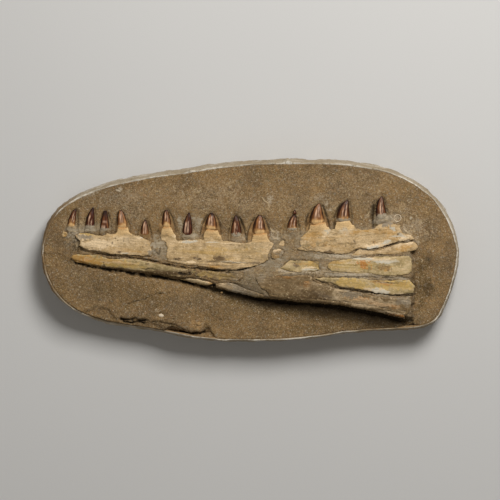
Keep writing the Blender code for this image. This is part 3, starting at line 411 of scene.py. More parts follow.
ROCK_GROOVES = [Groove(*row) for row in [
    (1.6, 2.5, 0.5, [(-270, 4), (-254, -1), (-244, -3)]),
    (1, 3, 0.85, [(-246, -2), (-232, -5), (-208, -7), (-188, -9), (-164, -12.5), (-147, -16.5)]),
    (1.4, 3.5, 1, [(-147, -16.5), (-128, -20.5), (-105, -24.5), (-84, -26), (-57, -29.5), (-35, -30),
                   (-12, -27.5), (8, -23.5)]),
    (1, 2, 0.8, [(169, 3), (185, 5.5), (208, 8.5), (235, 14), (262, 18.5)]),
    (0.9, 1.5, 0.7, [(163, -8.5), (195, -4.5), (227, -1.5), (248, 1.5), (264, 2)]),
    (1, 1.5, 0.6, [(109, -40.5), (152, -39), (195, -39), (240, -40), (259, -41)]),
    (1.2, 3, 1, [(115, -47.5), (141, -57), (163, -61), (192, -64), (227, -68.5), (264, -68.5)]),
    (3.2, 3.2, 1, [(-278, -18.5), (-252, -24), (-224, -29.5), (-192, -34), (-160, -39), (-134, -43),
                   (-112, -47), (-86, -54)]),
    (3, 3.5, 0.9, [(-86, -54), (-59, -61.5), (-32, -68), (-3, -75), (25, -79), (64, -83), (104, -88)]),
    (4, 4, 0.9, [(104, -87), (144, -93), (184, -100), (221, -108), (246, -113)]),
    (1.5, 2, 0.8, [(221, -111.5), (246, -117.5), (269, -118.5)]),
    (2, 2.5, 0.8, [(199, 82), (197, 70), (196, 57)]),
    (3.4, 2, 0.6, [(197, 76), (195, 66), (194, 55)]),
    (2.4, 1.5, 0.6, [(103, 70), (95, 56), (90, 42)]),
    (1.9, 3.6, 1, [(-207, -108.5), (-196, -110), (-186, -108.5), (-176, -111), (-163, -109.5)]),
    (1.5, 3.2, 1, [(-203, -112), (-192, -114.5), (-180, -112.5), (-170, -114.5)]),
    (1.3, 2.6, 0.9, [(-191, -109), (-184, -113.5), (-175, -112)]),
    (1.3, 1.8, 0.8, [(-163, -111), (-150, -112.5), (-136, -114), (-118, -119), (-104, -126), (-97, -128)]),
    (2.6, 4.5, 1, [(-131, -127), (-115, -129), (-98, -131.5), (-80, -132.5), (-72, -130), (-67, -126)]),
    (2.2, 3.5, 1, [(-66, -54.5), (-58, -53)]),
    (2, 3, 1, [(-86, -25.5), (-76, -26.5)]),
    (1, 1.2, 0.6, [(-152, 16), (-149, 9), (-152, 2), (-146, -4)]),
    (1.2, 1.2, 0.6, [(-143, 8), (-146, -2)]),
    (1, 1.3, 0.75, [(-195, -83.5), (-180, -78.5), (-166, -75.5), (-160, -70.5), (-150, -67.5),
                    (-128, -66)]),
    (0.9, 0.8, 0.4, [(-304, -10), (-288, -16.5), (-278, -26)]),
    (0.8, 0.6, 0.3, [(243, 11), (259, 14), (278, 22), (304, 25)]),
    (0.7, 0.5, 0.3, [(176, 49), (184, 57), (189, 67)]),
]]

# Sockets of the crowns: how wide they are at the foot in front of and behind the crown, how much
# painted shade darkens their edges there, how much painted shade darkens the smooth rock inside,
# and how tan that rock is.
Socket = namedtuple("Socket", "node front rear front_dark rear_dark tint tan")
SOCKETS = [Socket(*row) for row in [
    ("tooth_01", 1.5, 3.5, 0.15, 0.45, 0.15, 0),
    ("tooth_02", 1.5, 2, 0.15, 0.2, 0.1, 0),
    ("tooth_03", 2, 2.5, 0.15, 0.4, 0.15, 0),
    ("tooth_04", 2.5, 2.5, 0.42, 0.51, 0.1, 0.3),
    ("tooth_05", 4, 3.5, 0.42, 0.42, 0.3, 0.4),
    ("tooth_06", 4.5, 4.5, 0.59, 0.42, 0, 0.8),
    ("tooth_08", 5, 4.5, 0.77, 0.51, 0, 0.9),
    ("tooth_09", 4.5, 6, 0.68, 0.85, 0.4, 0.3),
    ("tooth_10", 7.5, 5, 0.85, 0.51, 0.1, 0.9),
    ("tooth_11", 5, 3, 0.34, 0.42, 0.2, 0),
    ("tooth_12", 6.5, 5, 0.77, 0.85, 0.3, 0.8),
    ("tooth_13", 3.2, 2.5, 0.85, 0.34, 0.5, 0.3),
    ("tooth_14", 5.5, 2, 0.85, 0.34, 1, 0),
]]

# Raised lines of shell and bone splinters on the rock: half width, height and line.
Ridge = namedtuple("Ridge", "width height line")
ROCK_RIDGES = [Ridge(*row) for row in [
    (1, 0.7, [(19.5, 87.5), (23, 82), (29, 78)]),
    (0.8, 0.5, [(29, 78), (30, 74), (32, 70)]),
    (0.9, 0.8, [(245.5, 40.5), (246, 37), (248, 35), (252, 31)]),
    (0.9, 0.6, [(252, 31), (259, 28)]),
    (1, 0.6, [(33, 38), (36, 33), (40, 32), (42, 27)]),
    (0.9, 0.6, [(35, 25), (39, 21), (44, 22)]),
    (0.8, 0.6, [(262, 33), (266, 31)]),
    (0.9, 0.7, [(-291, 32), (-284, 33.5), (-278, 32)]),
    (0.9, 0.6, [(-276, 33.5), (-270, 33), (-264, 34)]),
    (0.8, 0.5, [(-281, 15), (-277, 10), (-278, 5)]),
    (0.8, 0.6, [(186, 57), (189, 61), (192, 66)]),
    (0.9, 0.6, [(176, 58), (179, 54)]),
    (0.9, 0.7, [(273, -11), (277, -14), (275, -17)]),
    (0.8, 0.5, [(264, 61), (267, 57)]),
    (0.8, 0.6, [(42, -30), (55, -26), (66, -24)]),
    (0.8, 0.5, [(40, -37), (58, -33), (78, -31)]),
    (0.9, 0.5, [(118, -30), (150, -33), (185, -33)]),
    (0.8, 0.5, [(150, -2), (170, -5), (196, -3)]),
    (1.2, 0.9, [(205, 41), (215, 44), (226, 48)]),
    (0.8, 0.5, [(256, 26), (262, 22), (266, 18)]),
    (0.8, 0.6, [(120, -9), (138, -12), (160, -9)]),
    (0.8, 0.5, [(210, -37), (232, -38)]),
]]

# Broken edges of the rock: how far it steps down across them, over what width, and the line with
# the lower side on its right.
Step = namedtuple("Step", "drop width line")
ROCK_STEPS = [Step(*row) for row in [
    (4, 7, [(-318, -60), (-300, -77), (-288, -86), (-275, -94), (-259, -91), (-244, -86),
            (-233, -88), (-224, -94), (-208, -108), (-192, -111), (-176, -110), (-158, -110),
            (-144, -114), (-136, -128), (-132, -140)]),
    (5, 2.5, [(-139, -124), (-130, -119), (-118, -121), (-107, -125), (-97, -131), (-74, -131),
              (-64, -128), (-54, -136), (-50, -144)]),
]]


def srgb(red, green, blue):
    """Linear colour of an 8-bit sRGB one."""
    def linear(channel):
        value = channel / 255
        return value / 12.92 if value <= 0.04045 else ((value + 0.055) / 1.055) ** 2.4
    return (linear(red), linear(green), linear(blue), 1.0)


def length(name, description, millimetres):
    """A length that a user can change."""
    return bpy.props.FloatProperty(name=name, description=description, default=millimetres * MM,
                                   min=0.0, unit="LENGTH", precision=5)


def colour(name, description, red, green, blue):
    """A colour that a user can change."""
    return bpy.props.FloatVectorProperty(name=name, description=description, subtype="COLOR",
                                         size=4, min=0.0, max=1.0, default=srgb(red, green, blue))


class SlabLook(bpy.types.PropertyGroup):
    """Sizes and colours of the rock and the jacket."""

    cell: length("Rock cell", "Distance between points on the face of the rock", 1.45)
    grain_height: length("Grain height", "Height of the roughness of the rock", 0.42)
    plaster_cell: length("Plaster cell", "Distance between points on the jacket", 2.0)
    rim_width: length("Rim width", "Width of the jacket's top edge", 3.4)
    lump_height: length("Lump height", "Height of the lumps of the plaster", 1.5)
    rock: colour("Rock", "Sandy rock", 140, 111, 73)
    # Rubbed rock, and painted light towards the top of the slab.
    rock_rubbed_and_lit: colour("Rubbed rock", "Rock that is rubbed clean above the teeth", 156, 134, 105)
    # Stained rock, and painted shadow under the jaw, in the hollow behind it and towards the bottom.
    rock_stain_and_shade: colour("Dark rock", "Damp or stained rock", 86, 67, 36)
    rock_tan: colour("Tan rock", "Rock stained by iron", 166, 131, 86)
    rock_brown: colour("Brown rock", "Broad brown clouds in the rock", 118, 95, 66)
    rock_grey: colour("Grey rock", "Grey blotches in the rock", 142, 134, 120)
    rock_red: colour("Red rock", "Reddish blotches in the rock", 160, 116, 82)
    rock_olive: colour("Olive rock", "Olive blotches in the rock", 104, 92, 54)
    pale_grit: colour("Pale grit", "Pale grains in the rock", 194, 167, 124)
    dark_grit: colour("Dark grit", "Dark grains in the rock", 74, 56, 32)
    filler: colour("Filler", "Grey filler round the bones", 148, 130, 103)
    pale_filler: colour("Pale filler", "White streaks of the filler", 190, 178, 156)
    dark_filler: colour("Dark filler", "Dark streaks of the filler", 112, 96, 70)
    putty: colour("Putty", "Smooth blue-grey filler at the feet of the crowns", 176, 161, 136)
    socket: colour("Socket", "Smooth tan rock in the sockets", 140, 104, 66)
    shell: colour("Shell", "Shell debris and chips", 200, 184, 158)
    splinter: colour("Splinter", "Splinters of shell and bone", 196, 172, 134)
    # Painted shade: the colour of the rock's crevices, grooves, joints and undercut.
    shade_in_crevices: colour("Crevice", "Bottom of cracks", 24, 16, 6)
    plaster: colour("Plaster", "Clean plaster", 230, 221, 204)
    dirty_plaster: colour("Dirty plaster", "Plaster rubbed with rock dust", 142, 124, 96)
    tan_plaster: colour("Tan plaster", "Lighter clouds in the dirty plaster", 164, 149, 123)
    plaster_stain: colour("Plaster stain", "Brown stains of the plaster", 96, 78, 54)
    clean_shell: colour("Clean shell", "Chalk white of the ring and the chip", 232, 214, 184)
    brown_shell: colour("Brown shell", "Blotches of the ring and the chip", 168, 140, 104)


class BoneLook(bpy.types.PropertyGroup):
    """Sizes and colours of the bones."""

    cell: length("Bone cell", "Distance between points on a bone", 0.9)
    ragged: length("Ragged edge", "Depth of the bites in the edge of a bone", 1.3)
    flake_height: length("Flake height", "Thickness of the layers that flake off", 0.42)
    fibre_height: length("Fibre height", "Height of the fibres", 0.1)
    base_pale: colour("Pale bone", "Cream bone of the dentary", 184, 153, 106)
    base_yellow: colour("Yellow bone", "Yellow bone of the rear and of the splenial", 168, 145, 97)
    base_brown: colour("Brown bone", "Brown bone of the angular", 124, 100, 66)
    # Bleached bone, and in some patches a painted highlight.
    pale: colour("Bleached", "Bleached bone", 236, 207, 164)
    ochre: colour("Ochre", "Yellow to orange stain", 187, 141, 72)
    chalk: colour("Chalk", "White chalky crust on the bone", 208, 197, 174)
    yellow: colour("Yellow", "Bright yellow stain", 206, 170, 96)
    root: colour("Root", "Yellow root under a crown", 228, 190, 134)
    neck: colour("Neck", "Orange bone right under a crown", 196, 142, 80)
    rust: colour("Rust", "Red-brown stain", 188, 124, 54)
    brown: colour("Brown stain", "Dark brown stain", 92, 68, 40)
    grey: colour("Grey crust", "Crust of rock on the bone", 146, 130, 107)
    # Olive stain, and painted shade on the lower faces of the jaw.
    olive_and_underside_shade: colour("Olive", "Olive lower faces", 116, 98, 60)
    drab: colour("Drab", "Drab blotches all over the bone", 158, 140, 98)
    # Painted shade: the colour of the cracks and pits and of the side walls of the bones.
    shade_in_cracks: colour("Crack", "Bottom of cracks", 28, 19, 10)


class ToothLook(bpy.types.PropertyGroup):
    """Sizes and colours of the crowns."""

    sides: bpy.props.IntProperty(name="Sides", description="Points around a crown", default=48, min=12)
    rings: bpy.props.IntProperty(name="Rings", description="Rings from foot to tip", default=46, min=8)
    ridge_height: length("Ridge height", "Height of the fine ridges of the enamel", 0.16)
    tan: colour("Tan enamel", "Lightest enamel", 154, 102, 58)
    maroon: colour("Maroon enamel", "Darkest enamel", 74, 29, 12)
    # The dark of the edges is partly painted shade on the flanks.
    dark: colour("Dark edge", "Dark tips and edges", 40, 18, 8)
    # Partly pink streaks, partly painted reflections.
    streak: colour("Streak", "Pinkish streaks along a crown", 212, 172, 140)
    amber: colour("Amber foot", "Orange foot of a crown", 206, 154, 94)
    foot: colour("Foot", "Yellow foot of a crown, next to its root", 214, 172, 116)
    filler: colour("Filler", "Grey filler on the foot of a crown", 156, 140, 115)
    pale_filler: colour("Pale filler", "Lighter clouds of that filler", 178, 164, 140)


class StageLook(bpy.types.PropertyGroup):
    """Camera, floor and light."""

    distance: length("Camera distance", "From the camera to the slab's face", 4500)
    frame_width: length("Frame width", "Width that the picture shows at the slab's face", 800)
    tilt: bpy.props.FloatProperty(name="Tilt", description="Lean of the camera towards the teeth",
                                  default=math.radians(5), subtype="ANGLE")
    key_power: bpy.props.FloatProperty(name="Key power", description="Main light", default=75.5,
                                       min=0.0, unit="POWER")
    fill_power: bpy.props.FloatProperty(name="Fill power", description="Weak light from below",
                                        default=8.0, min=0.0, unit="POWER")
    ambient: bpy.props.FloatProperty(name="Ambient", description="Even light from all round",
                                     default=0.12, min=0.0)
    floor: colour("Floor", "Pale floor", 214, 212, 208)
    floor_cloud: colour("Floor cloud", "Slightly darker clouds of the floor", 208, 206, 202)


# Noise and masks.

def lattice(column, row, seed):
    """A fixed value from -1 to 1 for each corner of a square lattice."""
    mixed = column * 374761393 + row * 668265263 + seed * 974634777
    mixed = ((mixed ^ (mixed >> 13)) * 1274126177) & 0xFFFFFFFF
    mixed ^= mixed >> 16
    return (mixed & 0xFFFF) / 32767.5 - 1.0


def noise(x, y, size, seed):
    """Smooth noise from -1 to 1 with lumps of about the size given."""
    turn = 0.7 + seed
    u = (x * math.cos(turn) + y * math.sin(turn)) / size
    v = (y * math.cos(turn) - x * math.sin(turn)) / size
    column, row = np.floor(u), np.floor(v)
    s, t = u - column, v - row
    s, t = s * s * (3 - 2 * s), t * t * (3 - 2 * t)
    column, row = column.astype(np.int64), row.astype(np.int64)
    near = lattice(column, row, seed) * (1 - s) + lattice(column + 1, row, seed) * s
    far = lattice(column, row + 1, seed) * (1 - s) + lattice(column + 1, row + 1, seed) * s
    return near * (1 - t) + far * t


def fractal(x, y, size, octaves, seed):
    """Noise in octaves, each half the size and half the height of the one before."""
    total, weight, share = 0.0, 0.0, 1.0
    for octave in range(octaves):
        total = total + share * noise(x, y, size * share, seed + octave)
        weight += share
        share /= 2
    return total / weight * 1.4


def ramp(value, low, high):
    """0 below low, 1 above high, and smooth between."""
    t = np.clip((value - low) / (high - low), 0.0, 1.0)
    return t * t * (3 - 2 * t)


def table(points, x):
    """Height of an open line of points at x."""
    return np.interp(x, [p[0] for p in points], [p[1] for p in points])


def spot(place, x, y):
    """1 in the middle of a round or oval spot, fading to 0 outside its reach."""
    return np.exp(-((x - place[0]) / place[2]) ** 2 - ((y - place[1]) / place[3]) ** 2)


def turned(x, y, degrees):
    """Coordinates along and across a direction."""
    angle = math.radians(degrees)
    return x * math.cos(angle) + y * math.sin(angle), y * math.cos(angle) - x * math.sin(angle)


def distance_to(line, x, y, closed=False):
    """Distance of each point from a line, in millimetres."""
    ends = np.roll(line, -1, axis=0) if closed else line[1:]
    nearest = np.full(x.shape, 1e12)
    for (x0, y0), (x1, y1) in zip(line, ends):
        dx, dy = x1 - x0, y1 - y0
        t = np.clip(((x - x0) * dx + (y - y0) * dy) / (dx * dx + dy * dy + 1e-12), 0.0, 1.0)
        nearest = np.minimum(nearest, (x - x0 - t * dx) ** 2 + (y - y0 - t * dy) ** 2)
    return np.sqrt(nearest)


def depth_inside(outline, x, y):
    """How far each point lies inside a closed outline, in millimetres: negative outside."""
    inside = np.zeros(x.shape, bool)
    for (x0, y0), (x1, y1) in zip(outline, np.roll(outline, -1, axis=0)):
        if y0 != y1:
            crossing = (y0 > y) != (y1 > y)
            inside ^= crossing & (x < x0 + (y - y0) / (y1 - y0) * (x1 - x0))
    return np.where(inside, 1.0, -1.0) * distance_to(outline, x, y, closed=True)


def in_mm(box):
    """The two corners of a box in millimetres."""
    return [np.array(corner) / MM for corner in box]


def near(outline, x, y, margin):
    """Which points lie within the outline's box, widened by margin."""
    low, high = np.min(outline, axis=0) - margin, np.max(outline, axis=0) + margin
    return (x > low[0]) & (x < high[0]) & (y > low[1]) & (y < high[1])


def patch_mask(patches, x, y, seed):
    """How strongly one kind of colour shows at each point: ovals with ragged edges."""
    mask = np.zeros(x.shape)
    sway = fractal(x, y, 9.0, 3, seed) + 0.7 * fractal(x, y, 3.0, 2, seed + 5)
    swing = fractal(x, y, 7.0, 3, seed + 11) + 0.7 * fractal(x, y, 2.6, 2, seed + 17)
    for patch in (Patch(*row) for row in patches):
        u, v = turned(x - patch.x, y - patch.y, patch.turn)
        reach = min(patch.half_length, patch.half_width)
        u = (u + 0.9 * reach * sway) / patch.half_length
        v = (v + 0.6 * reach * swing) / patch.half_width
        mask = np.maximum(mask, patch.strength * (1 - ramp(np.hypot(u, v), 0.55, 1.25)))
    return mask


def groove_relief(grooves, x, y, seed, shake=1.1, soft=False):
    """Depth of the grooves at each point and their painted shade; they stray from their lines by shake."""
    depth, dark = np.zeros(x.shape), np.zeros(x.shape)
    shake_x = shake * fractal(x, y, 6.0, 4, seed)
    shake_y = shake * fractal(x, y, 6.0, 4, seed + 5)
    swell = np.clip(1.0 + 0.7 * fractal(x, y, 11.0, 3, seed + 9), 0.35, 1.8)
    gaps = 0.3 + 0.7 * ramp(fractal(x, y, 7.0, 3, seed + 17), -0.5, 0.0)
    for groove in grooves:
        line = np.array(groove.line, float)
        close = near(line, x, y, 4 * groove.width + 2)
        away = distance_to(line, (x + shake_x)[close], (y + shake_y)[close])
        reach = groove.width * swell[close]
        shape = np.minimum(swell[close], 1.2) * np.exp(-(away / reach) ** 2)
        depth[close] = np.maximum(depth[close], groove.depth * shape)
        dim = np.exp(-(away / reach / 0.9) ** 2) if soft else 1 - ramp(away, 0.4 * reach, 1.1 * reach)
        recess_shade = groove.dark * gaps[close] * dim
        dark[close] = np.maximum(dark[close], recess_shade)
    return depth, dark


# Shape of the slab.

def jaw_edges(x):
    """Upper and lower edge of the jaw at x."""
    return table(JAW_UPPER_EDGE, x), table(JAW_LOWER_EDGE, x)


def jaw_surface(x, y):
    """General surface of the bones: low at the tooth row, a long crest, and a steep lower edge."""
    upper, lower = jaw_edges(x)
    swell = table(JAW_CREST_HEIGHT, x) * table(JAW_CROSS_SECTION, (upper - y) / (upper - lower))
    return FACE + swell + 0.7 * np.sin(x / 13 + y / 9) + 0.5 * np.sin(x / 29 - y / 6)


def rock_plain(x, y):
    """General surface of the rock: a gentle roll, a gouge under the jaw and a hollow behind it."""
    roll = 1.1 * np.sin(x / 43 + 0.6) * np.cos(y / 29) + 0.7 * np.sin(x / 21 + y / 25)
    below = jaw_edges(x)[1] - y
    gouge = table(GOUGE_DEPTH, x) * np.exp(-(below / 16) ** 2)
    gouge = np.where((below > 0) & (x < 262), gouge, 0.0)
    return FACE + roll - gouge - 4.0 * spot(HOLLOW, x, y)


def with_roots(axes, x, y, height, proud):
    """Height raised to the root of each crown, which carries the crown's section down and flares."""
    for axis in axes.values():
        across, down = beside(axis, x, y)
        half = axis.half_foot * 1.04 + ROOT_FLARE * np.clip(down, 0, ROOT_LENGTH)
        cosine = np.minimum(np.abs(across) / half, 1.0) ** (1 / CROWN_FULLNESS)
        section = fuller(np.sqrt(1 - cosine ** 2))
        root = axis.height + CROWN_FLATTENING * axis.half_foot * section
        share = ramp(down, -6.0, -5.0) * (1 - ramp(down, 0.4 * ROOT_LENGTH, 1.2 * ROOT_LENGTH))
        height = height + share * np.maximum(root + proud - height, 0.0) * (np.abs(across) < half)
    return height


# Outlines and axes of the frame's pieces.

def plan_of(node):
    """Plan outline of a node in millimetres, anticlockwise: the border of its flat underside."""
    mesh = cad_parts[node].data
    places = np.array([v.co for v in mesh.vertices]) / MM
    corners = [tuple(p) for p in np.round(places[:, :2], 2)]
    floor = places[:, 2].min() + 0.02
    edges = set()
    for polygon in mesh.polygons:
        if all(places[v][2] < floor for v in polygon.vertices):
            ring = [corners[v] for v in polygon.vertices]
            edges |= set(zip(ring, ring[1:] + ring[:1]))
    following = {a: b for a, b in edges if (b, a) not in edges}
    line = [min(following)]
    while following[line[-1]] != line[0]:
        line.append(following[line[-1]])
    return np.array(line[::-1])


Axis = namedtuple("Axis", "foot tip bend across upright half_foot half_tip height lift")


def crown_axis(node):
    """Bent axis of a crown, read from the first and last ring of its tube."""
    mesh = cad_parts[node].data
    places = np.unique(np.round([np.array(v.co) / MM for v in mesh.vertices], 2), axis=0)
    places = places[np.argsort(places[:, 1])]
    count = len(places) // CROWN_RINGS_IN_FRAME
    first, last = places[:count], places[-count:]
    foot, tip = first.mean(0), last.mean(0)
    reach = np.linalg.norm(first[:, :2] - foot[:2], axis=1)
    across = first[reach.argmax(), :2] - foot[:2]
    across = across / np.linalg.norm(across) * np.sign(across[0])
    upright = np.array([-across[1], across[0]])
    bend = foot[:2] + upright * np.linalg.norm(tip[:2] - foot[:2]) * CROWN_BEND
    half_tip = np.linalg.norm(last[:, :2] - tip[:2], axis=1).max()
    return Axis(foot[:2], tip[:2], bend, across, upright, reach.max(), half_tip, foot[2],
                tip[2] - foot[2])


def crown_axes():
    """The axis of each crown, by its node."""
    return {crown.node: crown_axis(crown.node) for crown in CROWNS}


def crown_line(axis, t):
    """Middle and half width of a crown at a share t of its length."""
    t = np.asarray(t, float)[:, None]
    middle = (1 - t) ** 2 * axis.foot + 2 * t * (1 - t) * axis.bend + t ** 2 * axis.tip
    half = axis.half_foot * (1 - 0.35 * t - 0.65 * t ** 3) + axis.half_tip * t ** 3
    return middle, half


def fuller(value):
    """Sine or cosine of a section that is fuller than round."""
    return np.sign(value) * np.abs(value) ** CROWN_FULLNESS


def crown_plan(axis):
    """Plan outline of a crown, anticlockwise."""
    t = np.linspace(0, 1, 9)
    middle, half = crown_line(axis, t)
    along = along_line(middle)
    right = np.column_stack([along[:, 1], -along[:, 0]])
    return np.vstack([middle + right * half, (middle - right * half)[::-1]])


def socket_edges(axis, socket):
    """Lines of the front and rear edge of a crown's socket: they spread from near the tip."""
    t = np.array([-0.45, -0.2, 0.0, 0.2, 0.4, 0.6, 0.8])
    middle, half = crown_line(axis, np.maximum(t, 0.0))
    middle = middle + axis.upright * np.linalg.norm(axis.tip - axis.foot) * np.minimum(t, 0.0)[:, None]
    spread = (1 - t[:, None]) ** 0.8
    return (middle - axis.across * (half + socket.front * spread),
            middle + axis.across * (half + socket.rear * spread))


def beside(axis, x, y):
    """How far each point lies across from a crown's axis, and how far down from its foot."""
    across = (x - axis.foot[0]) * axis.across[0] + (y - axis.foot[1]) * axis.across[1]
    down = (axis.foot[0] - x) * axis.upright[0] + (axis.foot[1] - y) * axis.upright[1]
    return across, down


def root_mask(axes, x, y):
    """How strongly the colour of the roots shows at each point."""
    mask = np.zeros(x.shape)
    for crown in CROWNS:
        if crown.foot:
            axis = axes[crown.node]
            across, down = beside(axis, x, y)
            half = axis.half_foot * 1.1 + ROOT_FLARE * np.clip(down, 0, ROOT_LENGTH)
            fade = 1 - ramp(down + 2.5 * fractal(x, y, 7, 3, 58), 0.7 * ROOT_LENGTH, 1.3 * ROOT_LENGTH)
            beyond = ramp(np.abs(across), half, half + 3)
            mask = np.maximum(mask, ramp(down, -4.0, -1.0) * fade * (1 - beyond))
    return mask


def neck_mask(axes, x, y):
    """How strongly the orange of the crowns' feet runs on over the bone at each point."""
    mask = np.zeros(x.shape)
    for crown in CROWNS:
        if crown.foot >= LEAST_NECK:
            across, down = beside(axes[crown.node], x, y)
            half = axes[crown.node].half_foot
            reach = 6.0 - 3.0 * (across / half) ** 2 + 2.0 * fractal(x, y, 5.0, 3, 59)
            fade = (1 - ramp(down - 2.5, 0.0, np.maximum(reach, 1.0))) * ramp(down, -7.0, -6.0)
            mask = np.maximum(mask, fade * (1 - ramp(np.abs(across), half, half + 2)))
    return mask


def bone_plan(node, axes):
    """Outline of a bone whose peaks taper up to the crowns that they carry."""
    plan = stepped(plan_of(node), 1.0)
    for axis in axes.values():
        across, down = beside(axis, *plan.T)
        half = axis.half_foot * 1.02 + ROOT_FLARE * np.maximum(down, 0.0)
        over = np.where((down > -6) & (down < 12) & (np.abs(across) < axis.half_foot + 6),
                        np.maximum(np.abs(across) - half, 0.0), 0.0) * np.sign(across)
        plan = plan - over[:, None] * axis.across
    return plan


# Meshes.

def stepped(line, step):
    """The closed line with points about step apart."""
    closed = np.vstack([line, line[:1]])
    along = np.concatenate([[0.0], np.cumsum(np.linalg.norm(np.diff(closed, axis=0), axis=1))])
    places = np.linspace(0, along[-1], int(round(along[-1] / step)), endpoint=False)
    return np.column_stack([np.interp(places, along, closed[:, k]) for k in (0, 1)])


def inward(line):
    """Direction to the inside at each point of an anticlockwise line."""
    along = np.roll(line, -1, axis=0) - np.roll(line, 1, axis=0)
    along /= np.linalg.norm(along, axis=1, keepdims=True)
    return np.column_stack([-along[:, 1], along[:, 0]])


def broken(line, depth, size, seed):
    """The outline with bites taken out of it."""
    x, y = line.T
    bites = 0.45 + 0.65 * fractal(x, y, 1.8 * size, 3, seed) + 0.25 * fractal(x, y, 0.6 * size, 2, seed + 3)
    bites = depth * np.clip(bites, 0.02, 1.4)
    bitten = line + inward(line) * bites[:, None]
    clear = distance_to(line, bitten[:, 0], bitten[:, 1], closed=True) > 0.8 * bites
    return bitten[clear]


def scattered(outline, cell, seed):
    """Points about cell apart inside an outline, in staggered rows."""
    low, high = outline.min(0), outline.max(0)
    x, y = np.meshgrid(np.arange(low[0], high[0], cell), np.arange(low[1], high[1], cell * 0.87))
    x[1::2] += cell / 2
    x = x + 0.22 * cell * noise(x, y, cell * 0.7, seed)
    y = y + 0.22 * cell * noise(x, y, cell * 0.7, seed + 1)
    x, y = x.ravel(), y.ravel()
    depth = depth_inside(outline, x, y)
    keep = depth > 0.55 * cell
    return np.column_stack([x, y])[keep], depth[keep]


def new_object(name, places, faces):
    """A smooth mesh object from places in millimetres."""
    mesh = bpy.data.meshes.new(name)
    mesh.from_pydata((np.asarray(places) * MM).tolist(), [], faces)
    mesh.validate()
    mesh.shade_smooth()
    obj = bpy.data.objects.new(name, mesh)
    bpy.context.scene.collection.objects.link(obj)
    return obj


def set_mask(obj, name, values):
    """Stores one number for each point of the mesh, for the material to read."""
    attribute = obj.data.attributes.new(name, "FLOAT", "POINT")
    attribute.data.foreach_set("value", np.asarray(values, np.float32))


def with_walls(top, places, at_walls=0.0):
    """A mask of the top's points followed by one value for the points of the walls."""
    return np.concatenate([top, np.full(len(places) - len(top), at_walls)])


def set_directions(obj, name, values):
    """Stores three numbers for each point of the mesh, for the material to read."""
    attribute = obj.data.attributes.new(name, "FLOAT_VECTOR", "POINT")
    attribute.data.foreach_set("vector", np.asarray(values, np.float32).ravel())


def tube_faces(rings, sides):
    """Faces between rings of points, with the first and the last ring closed by a face each."""
    faces = []
    for k in range(rings - 1):
        for j in range(sides):
            i = (j + 1) % sides
            faces.append([k * sides + j, k * sides + i, (k + 1) * sides + i, (k + 1) * sides + j])
    faces.append(list(range(sides))[::-1])
    faces.append(list(range((rings - 1) * sides, rings * sides)))
    return faces


def along_line(line):
    """Direction along an open line at each point."""
    along = np.gradient(line, axis=0)
    return along / np.linalg.norm(along, axis=1, keepdims=True)


def triangles_within(outline, flat):
    """Triangles between the points of a sheet, whose first points are its closed outline."""
    count = len(outline)
    result = delaunay_2d_cdt([Vector(p) for p in flat.tolist()], [], [list(range(count))], 1, 1e-6,
                             False)
    triangles = np.array(result[2])
    if len(result[0]) != len(flat):
        return []
    middle = flat[triangles].mean(axis=1)
    doubtful = (triangles < count).all(axis=1)
    kept = np.ones(len(triangles), bool)
    kept[doubtful] = depth_inside(outline, middle[doubtful, 0], middle[doubtful, 1]) > SLIVER
    return triangles[kept].tolist()


def slab_of(name, outline, inner, top, floor, levels, side_bulge):
    """A closed solid with a shaped top, side walls in rings, and a flat underside.

    levels are shares of the wall's height from top to bottom. Gives back the object, its places
    and how far down the wall each point is, from 0 at the top to 1.
    """
    flat = np.vstack([outline, inner])
    count = len(outline)
    faces = triangles_within(outline, flat)
    if len(faces) != count + 2 * len(inner) - 2:
        raise RuntimeError(f"the outline of {name} crosses itself")
    rings, sunk = [np.column_stack([flat, top])], [np.zeros(len(flat))]
    direction = inward(outline)
    ring = list(range(count))
    start = len(flat)
    for level in levels:
        height = floor + (top[:count] - floor) * (1 - level)
        bulge = side_bulge(outline[:, 0], outline[:, 1], height) if level < 1 else np.zeros(count)
        rings.append(np.column_stack([outline + direction * bulge[:, None], height]))
        sunk.append(np.full(count, level))
        below = list(range(start, start + count))
        for k in range(count):
            following = (k + 1) % count
            faces.append([ring[following], ring[k], below[k], below[following]])
        ring, start = below, start + count
    faces.append(ring[::-1])
    places = np.vstack(rings)
    return new_object(name, places, faces), places, np.concatenate(sunk)


def place_piece(obj, node, material):
    """Makes the piece stand for its node and gives it its finish."""
    obj.data.materials.append(material)
    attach(obj, BODY)
    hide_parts(node)


# Materials.

